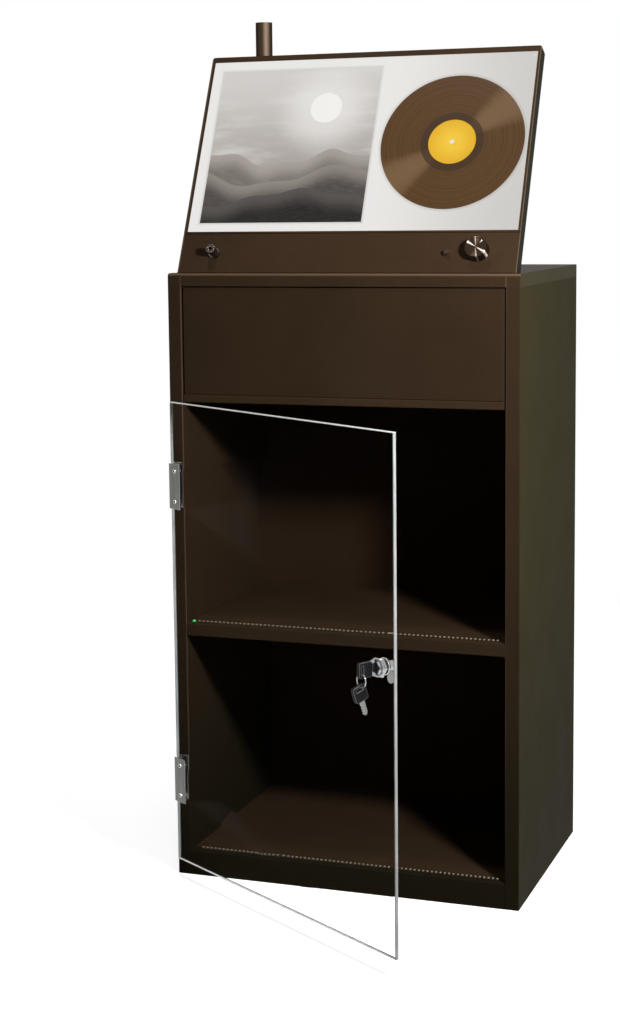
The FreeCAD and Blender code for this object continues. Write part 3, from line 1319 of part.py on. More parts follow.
def power_inlet():
    """The mains inlet in the back panel. Returns its screws and the cuts it needs."""
    centre_x = "cabinet_width - inlet_right_inset"
    low_x = centre_x + " - inlet_width / 2"
    low_z = "bay_middle - inlet_height / 2"
    flange = box("inlet_flange_plate",
                 (low_x + " - inlet_flange", "back_rear", low_z + " - inlet_rim"),
                 ("inlet_width + 2 * inlet_flange", "inlet_flange_thickness",
                  "inlet_height + 2 * inlet_rim"))
    shell = box("inlet_shell", (low_x, "back_rear - inlet_depth", low_z),
                ("inlet_width", "inlet_depth", "inlet_height"))
    recess = box("inlet_hollow",
                 (low_x + " + inlet_wall",
                  "back_rear + inlet_flange_thickness - inlet_recess", low_z + " + inlet_wall"),
                 ("inlet_width - 2 * inlet_wall", "inlet_recess",
                  "inlet_height - 2 * inlet_wall"))
    middle_z = "bay_middle"
    pins = [box("inlet_pin_%d" % i,
                ("%s + inlet_pin_spread * (%d) - inlet_pin_width / 2" % (centre_x, across),
                 "back_rear + inlet_flange_thickness - inlet_recess",
                 "%s + inlet_pin_rise * (%d) - inlet_pin_height / 2" % (middle_z, up)),
                ("inlet_pin_width", "inlet_pin_length", "inlet_pin_height"))
            for i, (across, up) in enumerate(((-1, -1), (0, 1), (1, -1)))]
    hollow = cut("inlet_hollow_shell", fuse("inlet_metal", [flange, shell]), [recess])
    side_spots = ["%s %s (inlet_width / 2 + inlet_flange / 2)" % (centre_x, sign)
                  for sign in "-+"]
    spots = [(x, "back_rear + inlet_flange_thickness", middle_z) for x in side_spots]
    screws, holes = wood_screws("inlet_screw", spots, "-y", "inlet_screw_length")
    solid = cut("inlet_solid", fuse("inlet_whole", [hollow] + pins), holes)
    finish(solid, "power_inlet", "cabinet")
    opening = box("inlet_opening", (low_x, "back_front", low_z),
                  ("inlet_width", "back_thickness", "inlet_height"))
    return screws, [opening] + holes


# ---------------------------------------------------------------- assembly

def build_cabinet():
    dowels, dowel_holes = dowels_and_holes()
    finish(group("dowel_set", dowels), "carcass_dowels", "cabinet")
    back_screws, back_holes = wood_screws("back_screw", back_screw_spots(), "-y")
    inlet_screws, inlet_cuts = power_inlet()
    finish(group("back_screw_set", back_screws + inlet_screws), "back_panel_screws",
           "cabinet")
    cleat_holes = header_fixings()
    hinge_holes = frame_side_of_hinges()
    strike_cuts = strike_plate()
    mast_screws, mast_holes = pan_screws("mast_screw", mast_screw_spots())
    finish(group("mast_screw_set", mast_screws), "mast_screws", "cabinet")
    bracket_screws, bracket_holes = pan_screws("bracket_screw", bracket_screw_spots())
    finish(group("bracket_screw_set", bracket_screws), "bracket_screws", "cabinet")
    side_board("left_side_board", "side_thickness", "0", "side_thickness - groove_depth",
               dowel_holes + cleat_holes + [hinge_holes])
    side_board("right_side_board", "right_inner_face", "cabinet_width",
               "right_inner_face + groove_depth", dowel_holes + cleat_holes + strike_cuts)
    cable_hole = cylinder("board_cable_hole", "cable_hole_radius", "top_thickness",
                          ("cabinet_width / 2", "display_setback + display_depth / 2",
                           "side_height"))
    top_board(dowel_holes + mast_holes + bracket_holes + [cable_hole])
    floor_board(dowel_holes + back_holes)
    plinth_frame(dowel_holes)
    middle_shelf(dowel_holes + back_holes)
    bay_floor(dowel_holes + back_holes)
    header_panel(cleat_holes)
    back_panel(back_holes, inlet_cuts)
    light_strip("shelf_light_strip", "shelf_top")
    light_strip("base_light_strip", "floor_top")
    pilot_lamp()
    power_supply()
    audio_board()
    mast(mast_holes)
    display_brackets(bracket_holes)


def build_door():
    door_glass(door_side_of_hinges())
    lock_body()
    lock_bezel()
    lock_nut()
    lock_plug()
    lock_cam()
    cam_screw()
    key_in_lock()
    key_ring()
    spare_key()


def build_display():
    display_housing()
    display_bezel()
    screen_layers()
    control_panel()
    volume_knob()
    potentiometer()
    push_button()
    button_bush()
    headphone_socket()


def check_and_export():
    document.recompute()
    troubles = [thing.Name for thing in document.Objects
                if "Invalid" in thing.State or "Error" in thing.State]
    if troubles:
        raise ValueError("objects that failed: " + ", ".join(troubles))
    for shape in finished:
        if shape.Shape.isNull() or not shape.Shape.isValid():
            raise ValueError("bad shape: " + shape.Label)
    os.makedirs("parts", exist_ok=True)
    for shape in finished:
        shape.Shape.exportStep(os.path.join("parts", shape.Label + ".step"))
    print("%d sub-parts written" % len(finished))


build_cabinet()
build_door()
build_display()
check_and_export()
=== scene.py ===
import math

import bmesh
import bpy
from mathutils import Matrix, Vector


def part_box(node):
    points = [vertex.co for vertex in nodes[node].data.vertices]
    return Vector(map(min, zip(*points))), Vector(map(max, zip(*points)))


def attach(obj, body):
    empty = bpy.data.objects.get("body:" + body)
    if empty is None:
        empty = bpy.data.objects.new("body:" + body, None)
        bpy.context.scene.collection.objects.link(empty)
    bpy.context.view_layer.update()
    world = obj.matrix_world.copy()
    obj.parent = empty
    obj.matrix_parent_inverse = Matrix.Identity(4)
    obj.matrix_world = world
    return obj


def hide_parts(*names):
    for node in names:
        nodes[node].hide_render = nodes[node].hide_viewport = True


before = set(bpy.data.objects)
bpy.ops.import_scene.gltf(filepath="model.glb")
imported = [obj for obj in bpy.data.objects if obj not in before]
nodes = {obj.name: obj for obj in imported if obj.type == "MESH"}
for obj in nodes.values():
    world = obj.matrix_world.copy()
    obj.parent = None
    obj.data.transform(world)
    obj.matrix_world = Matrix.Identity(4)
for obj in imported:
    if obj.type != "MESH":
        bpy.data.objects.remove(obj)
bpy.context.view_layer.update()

# A record cabinet: brown painted boards, a glass door with a cam lock and its keys,
# lamp strips on its shelves and a sloping display head.  Everything is in metres.

scene = bpy.context.scene

# the display head leans back and the door stands open by these angles
HEAD_TILT = math.radians(25.8)
DOOR_ANGLE = math.radians(33.5)

CABINET_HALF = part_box("right_side_board")[1].x      # from the middle to the outer face
CABINET_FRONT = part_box("right_side_board")[0].y
CABINET_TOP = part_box("top_board")[1].z
STILE_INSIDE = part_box("right_side_board")[0].x      # the side board's inner face

HEAD_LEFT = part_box("display_housing")[0].x
HEAD_SETBACK = 0.019
HEAD_CORNER = Vector((HEAD_LEFT, CABINET_FRONT + HEAD_SETBACK, CABINET_TOP))

HINGE_INSET = 0.006             # from the cabinet's side to the hinge pin
KNUCKLE_RADIUS = 0.003
DOOR_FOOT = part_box("door_glass")[0].z
DOOR_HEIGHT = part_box("door_glass")[1].z - DOOR_FOOT
DOOR_PIVOT = Vector((HINGE_INSET - CABINET_HALF, CABINET_FRONT - KNUCKLE_RADIUS, DOOR_FOOT))
DOOR_START, DOOR_END = 0.0055, 0.5516     # the glass, measured from the pin

HEAD_RIGHT = Vector((1.0, 0.0, 0.0))
HEAD_UP = Vector((0.0, math.sin(HEAD_TILT), math.cos(HEAD_TILT)))
HEAD_OUT = Vector((0.0, -math.cos(HEAD_TILT), math.sin(HEAD_TILT)))
DOOR_ALONG = Vector((math.cos(DOOR_ANGLE), -math.sin(DOOR_ANGLE), 0.0))
DOOR_OUT = Vector((-math.sin(DOOR_ANGLE), -math.cos(DOOR_ANGLE), 0.0))


def mixed(red, green, blue):
    """A paint colour as mixed on a 0 to 255 card, as the light value a shader wants."""
    def light(part):
        part = part / 255.0
        if part <= 0.04045:
            return part / 12.92
        return ((part + 0.055) / 1.055) ** 2.4
    return (light(red), light(green), light(blue), 1.0)


def toned(colour, share):
    """The same colour, lighter or darker by that share."""
    return tuple(part * share for part in colour[:3]) + (1.0,)


# ---------------------------------------------------------------- camera

FRAME_HIGH = 1020.0                 # pixels, as are the next two
FOCAL_LENGTH = 1971.9
LENS_SHIFT = (25.3, -62.7)
SENSOR_WIDTH = 36.0                 # millimetres
CAMERA_PLACE = (0.9467, -3.0260, 1.0753)
CAMERA_YAW, CAMERA_PITCH, CAMERA_ROLL = (math.radians(a) for a in (20.13, 7.14, -0.70))


def set_up_camera():
    """The camera stands to the right of the open door, a little above its top edge."""
    ahead = Vector((-math.sin(CAMERA_YAW) * math.cos(CAMERA_PITCH),
                    math.cos(CAMERA_YAW) * math.cos(CAMERA_PITCH),
                    -math.sin(CAMERA_PITCH)))
    level_right = Vector((math.cos(CAMERA_YAW), math.sin(CAMERA_YAW), 0.0))
    level_up = level_right.cross(ahead)
    right = level_right * math.cos(CAMERA_ROLL) + level_up * math.sin(CAMERA_ROLL)
    up = level_up * math.cos(CAMERA_ROLL) - level_right * math.sin(CAMERA_ROLL)
    lens = bpy.data.cameras.new("cabinet_camera")
    lens.sensor_width = SENSOR_WIDTH
    lens.lens = FOCAL_LENGTH / FRAME_HIGH * SENSOR_WIDTH
    lens.shift_x, lens.shift_y = (shift / FRAME_HIGH for shift in LENS_SHIFT)
    lens.clip_start = 0.05
    camera = bpy.data.objects.new("cabinet_camera", lens)
    scene.collection.objects.link(camera)
    turn = Matrix((right, up, -ahead)).transposed().to_4x4()
    camera.matrix_world = Matrix.Translation(CAMERA_PLACE) @ turn
    scene.camera = camera


# ---------------------------------------------------------------- node helpers

def feed(tree, socket, source):
    """Joins a socket to another node's output, or sets its plain value."""
    if isinstance(source, bpy.types.NodeSocket):
        tree.links.new(source, socket)
    else:
        socket.default_value = source


def place(tree, kind, sockets=(), **settings):
    """One node with its own settings, and its numbered or named sockets filled."""
    made = tree.nodes.new(kind)
    for name, setting in settings.items():
        setattr(made, name, setting)
    for name, source in dict(sockets).items():
        feed(tree, made.inputs[name], source)
    return made


def sums(tree, operation, first, second=0.0):
    """The output of one Math node."""
    return place(tree, "ShaderNodeMath", {0: first, 1: second},
                 operation=operation).outputs[0]


def times(tree, first, second):
    """One value times another."""
    return sums(tree, "MULTIPLY", first, second)


def minus(tree, first, second):
    """One value less another."""
    return sums(tree, "SUBTRACT", first, second)


def gap(tree, first, second=0.0):
    """How far apart two values are."""
    return sums(tree, "ABSOLUTE", minus(tree, first, second))


def vector(tree, **parts):
    """A vector of the X, Y and Z parts that are given; the others are 0."""
    return place(tree, "ShaderNodeCombineXYZ", parts).outputs[0]


def vector_sums(tree, operation, first, second=(0.0, 0.0, 0.0)):
    """What one Vector Math node works out: a plain value or a vector."""
    made = place(tree, "ShaderNodeVectorMath", {0: first, 1: second}, operation=operation)
    plain = operation in ("LENGTH", "DISTANCE", "DOT_PRODUCT")
    return made.outputs["Value" if plain else "Vector"]


def step_up(tree, value, low, high, to_low=0.0, to_high=1.0):
    """A smooth rise of value from low to high; the output goes from to_low to to_high."""
    ramp = place(tree, "ShaderNodeMapRange",
                 {"Value": value, "From Min": low, "From Max": high,
                  "To Min": to_low, "To Max": to_high},
                 interpolation_type="SMOOTHSTEP")
    return ramp.outputs["Result"]


def blend(tree, factor, first, second, way="MIX"):
    """The output of one colour Mix node."""
    made = place(tree, "ShaderNodeMix", {0: factor, 6: first, 7: second},
                 data_type="RGBA", blend_type=way)
    return made.outputs[2]


def laid_on(tree, shade, colour, value, low, high, share=1.0):
    """Lays a colour on a shade, by up to share, as value goes from low to high."""
    return blend(tree, step_up(tree, value, low, high, 0.0, share), shade, colour)


def mapped(tree, where, turn=(0.0, 0.0, 0.0), shift=(0.0, 0.0, 0.0), scale=(1.0, 1.0, 1.0)):
    """A place that is scaled, turned and then shifted."""
    return place(tree, "ShaderNodeMapping",
                 {"Vector": where, "Location": shift, "Rotation": turn,
                  "Scale": scale}).outputs["Vector"]


def object_place(tree, **changes):
    """The object's own coordinates, with the changes that mapped makes."""
    coordinates = place(tree, "ShaderNodeTexCoord")
    return mapped(tree, coordinates.outputs["Object"], **changes)


def head_place(tree):
    """Places on the display head: X from its left edge, Z up its slope, Y into it."""
    turn = Matrix.Rotation(HEAD_TILT, 3, "X")
    return object_place(tree, turn=(HEAD_TILT, 0.0, 0.0),
                        shift=tuple(-(turn @ HEAD_CORNER)))


def parts_of(tree, where):
    """The X, Y and Z outputs of a place."""
    apart = place(tree, "ShaderNodeSeparateXYZ", {"Vector": where})
    return apart.outputs["X"], apart.outputs["Y"], apart.outputs["Z"]


def noise(tree, where, scale, detail=2.0, roughness=0.5):
    """The plain value of one noise texture."""
    made = place(tree, "ShaderNodeTexNoise",
                 {"Vector": where, "Scale": scale, "Detail": detail,
                  "Roughness": roughness})
    return made.outputs["Fac"]


def rings(tree, radius, pace, detail, roughness=0.5):
    """Noise that changes along a radius only, and so draws rings."""
    made = place(tree, "ShaderNodeTexNoise",
                 {"W": times(tree, radius, pace), "Scale": 1.0, "Detail": detail,
                  "Roughness": roughness}, noise_dimensions="1D")
    return made.outputs["Fac"]


def bumped(tree, shader, height, depth):
    """Gives a shader a fine relief of that depth in metres."""
    bump = place(tree, "ShaderNodeBump", {"Height": height, "Distance": depth})
    feed(tree, shader.inputs["Normal"], bump.outputs["Normal"])


def new_finish(name, **plain):
    """A material with one Principled shader whose plain values are set."""
    finish = bpy.data.materials.new(name)
    finish.use_nodes = True
    shader = finish.node_tree.nodes["Principled BSDF"]
    for key, setting in plain.items():
        socket = key.replace("_", " ").title().replace("Ior", "IOR")
        shader.inputs[socket].default_value = setting
    return finish, finish.node_tree, shader


# ---------------------------------------------------------------- finishes

OUTER_SKIN = 0.0008             # how deep the outer faces' painted tint goes
FOOT_SHADE_FROM, FOOT_SHADE_TO = 0.56, 0.05             # heights over which the painted shade on the low parts deepens
STILE_FADE_TO, STILE_FADE_FROM = 0.05, 0.30         # and the stiles' painted edge highlights end
STILE_EDGE = STILE_INSIDE + 0.0006          # the middle of that painted highlight
EVERYWHERE = 1.0                            # a front limit that leaves nothing out


def brown_paint(name, colour, roughness=0.5, gloss=0.006, peel=0.00004, painted_side_tint=None,
                outer_at=CABINET_HALF - OUTER_SKIN, arris=None, foot=None,
                foot_to=EVERYWHERE, rim=None):
    """Sprayed satin paint with orange peel and soft blotches.

    The side tint colours the faces beyond outer_at with a painted tint that stands in for
    reflected light; rim paints a highlight line just inside them; the edge colour paints
    highlights on the front edges; and foot paints shade on the low parts in front of
    foot_to, darker towards the bottom."""
    finish, tree, shader = new_finish(name, roughness=roughness, specular_ior_level=gloss)
    where = object_place(tree)
    across, deep, high = parts_of(tree, where)
    side = gap(tree, across)
    cloud = noise(tree, where, 9.0, 4.0, 0.6)
    shade = laid_on(tree, toned(colour, 0.93), toned(colour, 1.07), cloud, 0.3, 0.7)
    speck = noise(tree, where, 260.0, 3.0, 0.7)
    shade = laid_on(tree, shade, toned(colour, 2.4), speck, 0.5, 0.8, 0.14)
    # foot: painted shade, darker towards the bottom, on the paint and on the side tint
    if foot:
        shaded_low = step_up(tree, high, FOOT_SHADE_FROM, FOOT_SHADE_TO)
        front = step_up(tree, deep, foot_to, foot_to - 0.001)
        shade = blend(tree, times(tree, shaded_low, front), shade, foot)
        painted_side_tint = blend(tree, shaded_low, painted_side_tint, toned(painted_side_tint, 0.62))
    # rim: a painted highlight line just inside the outer faces
    if rim:
        shade = laid_on(tree, shade, rim, side, outer_at - 0.0016, outer_at - 0.0009, 0.7)
    # the outer faces take a painted tint that stands in for reflected light
    if painted_side_tint:
        shade = laid_on(tree, shade, painted_side_tint, side, outer_at, outer_at + 0.0005)
    # painted highlights along the top's front edge and the stiles' inner edges
    if arris:
        behind = minus(tree, deep, CABINET_FRONT)
        below = minus(tree, CABINET_TOP, high)
        top_edge_highlight = times(tree, step_up(tree, below, 0.0050, 0.0015),
                          step_up(tree, behind, 0.0045, 0.0015))
        off_edge = gap(tree, side, STILE_EDGE)
        stile_edge_highlight = times(tree, step_up(tree, off_edge, 0.0012, 0.0004),
                            step_up(tree, behind, 0.0025, 0.0010))
        stile_edge_highlight = times(tree, stile_edge_highlight,
                            step_up(tree, high, STILE_FADE_TO, STILE_FADE_FROM))
        rubbed = sums(tree, "MAXIMUM", top_edge_highlight, times(tree, stile_edge_highlight, 0.5))
        shade = blend(tree, rubbed, shade, arris)
    feed(tree, shader.inputs["Base Color"], shade)
    feed(tree, shader.inputs["Roughness"],
         step_up(tree, noise(tree, where, 14.0, 4.0), 0.3, 0.7,
                 roughness - 0.02, roughness + 0.02))
    bumped(tree, shader, noise(tree, where, 900.0, 2.0), peel)
    return finish


PAINTED_SHEEN_AT = 0.24                 # where the painted highlight lies, as a share of the radius right of the tube's middle


def painted_sheen_tube(name, shaded_flank, colour, painted_sheen, node):
    """Satin paint on an upright tube, with a painted highlight down its front and painted
    shade on its flanks, both set by the camera's bearing.
    """
    finish, tree, shader = new_finish(name, roughness=0.5, specular_ior_level=0.02)
    low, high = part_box(node)
    radius = (high.x - low.x) / 2
    where = object_place(tree)
    across, deep, _ = parts_of(tree, where)
    across = minus(tree, across, (low.x + high.x) / 2)
    deep = minus(tree, deep, (low.y + high.y) / 2)
    side = sums(tree, "ADD", times(tree, across, math.cos(CAMERA_YAW)),
                times(tree, deep, math.sin(CAMERA_YAW)))
    side = sums(tree, "DIVIDE", side, radius)
    # painted highlight down the front, then painted shade on the flanks
    shade = laid_on(tree, colour, painted_sheen, gap(tree, side, PAINTED_SHEEN_AT), 0.5, 0.0)
    shade = laid_on(tree, shade, shaded_flank, gap(tree, side), 0.6, 0.98)
    speck = noise(tree, where, 400.0, 3.0, 0.7)
    feed(tree, shader.inputs["Base Color"],
         laid_on(tree, shade, toned(colour, 0.6), speck, 0.4, 0.8, 0.12))
    bumped(tree, shader, noise(tree, where, 900.0, 2.0), 0.00003)
    return finish


def drawn_metal(name, colour, roughness=0.3, along=(1.0, 1.0, 40.0), wear=0.8):
    """Rolled or plated metal with fine drawn lines."""
    finish, tree, shader = new_finish(name, metallic=1.0, roughness=roughness)
    lines = noise(tree, object_place(tree, scale=along), 300.0, 4.0, 0.6)
    feed(tree, shader.inputs["Base Color"],
         blend(tree, lines, toned(colour, wear), colour))
    feed(tree, shader.inputs["Roughness"],
         step_up(tree, lines, 0.2, 0.8, roughness * 0.75, roughness * 1.3))
    bumped(tree, shader, lines, 0.00001)
    return finish


def moulded_plastic(name, colour, roughness=0.35, grain=0.00003, gloss=0.2, glow=0.0):
    """Moulded plastic with a fine spark-eroded grain."""
    finish, tree, shader = new_finish(name, roughness=roughness, specular_ior_level=gloss,
                                      emission_strength=glow)
    where = object_place(tree)
    grainy = noise(tree, where, 1400.0, 3.0)
    shade = laid_on(tree, colour, toned(colour, 1.35), grainy, 0.4, 0.8)
    feed(tree, shader.inputs["Base Color"], shade)
    if glow:
        feed(tree, shader.inputs["Emission Color"], shade)
    feed(tree, shader.inputs["Roughness"],
         step_up(tree, noise(tree, where, 60.0, 3.0), 0.3, 0.7,
                 roughness - 0.05, roughness + 0.08))
    bumped(tree, shader, grainy, grain)
    return finish


def bare_wood(name):
    """Planed pale softwood with its grain along X."""
    finish, tree, shader = new_finish(name, roughness=0.6, specular_ior_level=0.3)
    grain = noise(tree, object_place(tree, scale=(1.5, 14.0, 14.0)), 12.0, 5.0, 0.6)
    feed(tree, shader.inputs["Base Color"],
         laid_on(tree, mixed(178, 136, 88), mixed(222, 188, 142), grain, 0.3, 0.7))
    bumped(tree, shader, grain, 0.00008)
    return finish


def clear_glass(name, colour, bend):
    """Clear coated sheet glass that lets lamp light straight through."""
    finish, tree, shader = new_finish(name, base_color=colour, roughness=0.0, ior=bend,
                                      transmission_weight=1.0)
    open_way = place(tree, "ShaderNodeBsdfTransparent", {"Color": (0.96, 0.98, 0.97, 1.0)})
    ray = place(tree, "ShaderNodeLightPath")
    both = place(tree, "ShaderNodeMixShader",
                 {0: ray.outputs["Is Shadow Ray"], 1: shader.outputs["BSDF"],
                  2: open_way.outputs["BSDF"]})
    feed(tree, tree.nodes["Material Output"].inputs["Surface"], both.outputs["Shader"])
    return finish


def glass_edge_light(name, dark, pale, gloss=0.3, glow=0.0):
    """Glass as on the door's ends and arrises, drawn in opaque colour with fine streaks;
    the pale colour and the glow are painted light that stands in for light gathered in the
    glass.
    """
    finish, tree, shader = new_finish(name, roughness=0.3, specular_ior_level=gloss,
                                      emission_strength=glow)
    streaks = noise(tree, object_place(tree, scale=(1.0, 1.0, 0.15)), 160.0, 4.0, 0.6)
    shade = laid_on(tree, dark, pale, streaks, 0.3, 0.7)
    feed(tree, shader.inputs["Base Color"], shade)
    feed(tree, shader.inputs["Emission Color"], shade)
    bumped(tree, shader, streaks, 0.00002)
    return finish


PAINTED_STREAKS = ((-32.0, 0.10, 0.85), (99.0, 0.055, 0.75))    # painted highlight streaks: degrees, width, strength


def spun_face(name, colour, painted_sheen, centre):
    """A turned face: fine rings round the knob's centre, with painted highlight streaks
    laid into its colour that turn with the knob.
    """
    finish, tree, shader = new_finish(name, metallic=1.0, roughness=0.33, anisotropic=1.0)
    where = vector_sums(tree, "SUBTRACT", object_place(tree), tuple(centre))
    round_about = vector_sums(tree, "CROSS_PRODUCT", tuple(HEAD_OUT), where)
    outwards = vector_sums(tree, "CROSS_PRODUCT", round_about, tuple(HEAD_OUT))
    across_rings = vector_sums(tree, "NORMALIZE", outwards)
    feed(tree, shader.inputs["Tangent"], across_rings)
    cut_lines = rings(tree, vector_sums(tree, "LENGTH", outwards), 9000.0, 3.0)
    shade = laid_on(tree, toned(colour, 0.8), colour, cut_lines, 0.3, 0.7)
    right = vector_sums(tree, "DOT_PRODUCT", across_rings, tuple(HEAD_RIGHT))
    up = vector_sums(tree, "DOT_PRODUCT", across_rings, tuple(HEAD_UP))
    # painted highlight streaks across the face
    for degrees, width, share in PAINTED_STREAKS:
        aim = math.radians(degrees)
        off = gap(tree, times(tree, right, math.sin(aim)), times(tree, up, math.cos(aim)))
        shade = laid_on(tree, shade, painted_sheen, off, width * 2.2, width * 0.2, share)
    feed(tree, shader.inputs["Base Color"], shade)
    feed(tree, shader.inputs["Roughness"], step_up(tree, cut_lines, 0.3, 0.7, 0.29, 0.36))
    return finish


# ---------------------------------------------------------------- the lit screen

SLEEVE_LEFT, SLEEVE_RIGHT = 0.022, 0.288
SLEEVE_FOOT, SLEEVE_TOP = 0.086, 0.352
DISC_CENTRE = (0.4160, 0.2190)
DISC_RADIUS = 0.1130
LABEL_RADIUS = 0.0370
SPINDLE_RADIUS = 0.0036
DEAD_WAX_RADIUS = 0.0490
RECORD_SHEEN_BEARING = 0.62         # radians up from the right
MOON_CENTRE = (0.205, 0.0, 0.283)
MOON_RADIUS = 0.0258
BLUR = 0.0003                       # half the width of a drawn outline
# each dune's height, its swells as height, pace and start, and its crest and foot colours
DUNES = ((0.196, ((0.012, 31.0, 0.6), (0.004, 83.0, 2.0)),
          (168, 160, 154), (118, 111, 106)),
         (0.166, ((0.015, 22.0, 2.4), (0.004, 61.0, 0.3)),
          (142, 134, 128), (74, 69, 66)),
         (0.128, ((0.014, 18.0, 4.5), (0.003, 70.0, 1.1)),
          (84, 79, 76), (26, 24, 24)))


def dune(tree, across, up, level, swells):
    """How far a point lies under a dune whose crest is a sum of long swells."""
    crest = level
    for height, pace, start in swells:
        turn = sums(tree, "ADD", times(tree, across, pace), start)
        wave = times(tree, sums(tree, "SINE", turn), height)
        crest = sums(tree, "ADD", crest, wave)
    return minus(tree, crest, up)


def sleeve_picture(tree, where, across, up):
    """A plain grey picture for the sleeve: dunes under a hazy moon."""
    haze = noise(tree, mapped(tree, where, scale=(5.0, 0.0, 26.0)), 1.6, 5.0, 0.55)
    sky = laid_on(tree, mixed(170, 163, 158), mixed(212, 208, 205), up, 0.16, 0.35)
    sky = laid_on(tree, sky, mixed(226, 223, 220), haze, 0.45, 0.75, 0.55)
    from_moon = vector_sums(tree, "DISTANCE", vector(tree, X=across, Z=up), MOON_CENTRE)
    sky = laid_on(tree, sky, mixed(235, 232, 229), from_moon, 0.095, 0.028, 0.75)
    picture = laid_on(tree, sky, mixed(246, 244, 241), from_moon, MOON_RADIUS + 0.0004,
                      MOON_RADIUS - 0.0004)
    for level, swells, crest_colour, foot_colour in DUNES:
        under = dune(tree, across, up, level, swells)
        ripple = noise(tree, mapped(tree, where, turn=(0.0, 0.12, 0.0),
                                    scale=(60.0, 0.0, 700.0)), 1.0, 3.0)
        ground = laid_on(tree, mixed(*crest_colour), mixed(*foot_colour), under, 0.0,
                         0.035)
        ground = laid_on(tree, ground, mixed(*crest_colour), ripple, 0.45, 0.7, 0.22)
        picture = laid_on(tree, picture, ground, under, -0.0004, 0.0006)
    grain = noise(tree, where, 1500.0, 2.0)
    return laid_on(tree, picture, mixed(128, 122, 118), grain, 0.2, 0.8, 0.10)


def record_picture(tree, across, up, ground):
    """A brown record with a bare yellow label, lying on the white ground."""
    right = minus(tree, across, DISC_CENTRE[0])
    rise = minus(tree, up, DISC_CENTRE[1])
    radius = vector_sums(tree, "LENGTH", vector(tree, X=right, Y=rise))
    bearing = sums(tree, "ARCTAN2", rise, right)
    bands = rings(tree, radius, 420.0, 4.0, 0.7)
    wax = laid_on(tree, mixed(78, 54, 28), mixed(96, 68, 38), bands, 0.3, 0.7)
    from_sheen = minus(tree, bearing, RECORD_SHEEN_BEARING)
    lobes = sums(tree, "COSINE", times(tree, from_sheen, 2.0))
    wax = laid_on(tree, wax, mixed(150, 120, 88), lobes, 0.72, 1.0, 0.40)
    wax = laid_on(tree, wax, mixed(66, 47, 32), radius, DEAD_WAX_RADIUS + 0.0015,
                  DEAD_WAX_RADIUS, 0.8)
    label = laid_on(tree, mixed(240, 198, 62), mixed(230, 178, 42), radius, 0.006,
                    LABEL_RADIUS)
    wax = laid_on(tree, wax, label, radius, LABEL_RADIUS + 0.0005, LABEL_RADIUS)
    wax = laid_on(tree, wax, mixed(226, 222, 214), radius, SPINDLE_RADIUS + BLUR,
                  SPINDLE_RADIUS)
    ground = laid_on(tree, ground, mixed(150, 144, 138), radius, DISC_RADIUS + 0.006,
                     DISC_RADIUS, 0.30)
    return laid_on(tree, ground, wax, radius, DISC_RADIUS + BLUR, DISC_RADIUS - BLUR)


def lit_picture():
    """The lit screen shows a square grey sleeve and a record side by side on white."""
    finish, tree, shader = new_finish("lit_picture", roughness=0.3, emission_strength=1.0,
                                      specular_ior_level=0.02,
                                      base_color=(0.005, 0.005, 0.005, 1.0))
    where = head_place(tree)
    across, _, up = parts_of(tree, where)
    ground = laid_on(tree, mixed(233, 231, 229), mixed(206, 203, 200), across, 0.28, 0.54)
    shown = record_picture(tree, across, up, ground)
    beside = gap(tree, across, (SLEEVE_LEFT + SLEEVE_RIGHT) / 2)
    above = gap(tree, up, (SLEEVE_FOOT + SLEEVE_TOP) / 2)
    half = (SLEEVE_RIGHT - SLEEVE_LEFT) / 2
    reach = sums(tree, "MAXIMUM", beside, above)
    shown = laid_on(tree, shown, mixed(150, 145, 141), reach, half + 0.005, half, 0.3)
    shown = laid_on(tree, shown, sleeve_picture(tree, where, across, up), reach,
                    half + BLUR, half - BLUR)
    feed(tree, shader.inputs["Emission Color"], shown)
    return finish


BROWN = mixed(60, 46, 33)
# a painted olive tint for the side faces, standing in for reflected light
OLIVE_REFLECTION_TINT = mixed(61, 55, 29)
# a painted highlight colour for the front edges
EDGE_HIGHLIGHT = mixed(112, 90, 72)
# painted shade for the low parts, darker towards the bottom
FOOT_SHADE = mixed(40, 35, 24)
EDGES_ONLY = CABINET_FRONT + 0.0035         # a front limit that keeps to the front edges

KNOB_ACROSS, KNOB_UP = 0.4785, 0.035        # from the head's corner
KNOB_CENTRE = HEAD_CORNER + HEAD_RIGHT * KNOB_ACROSS + HEAD_UP * KNOB_UP

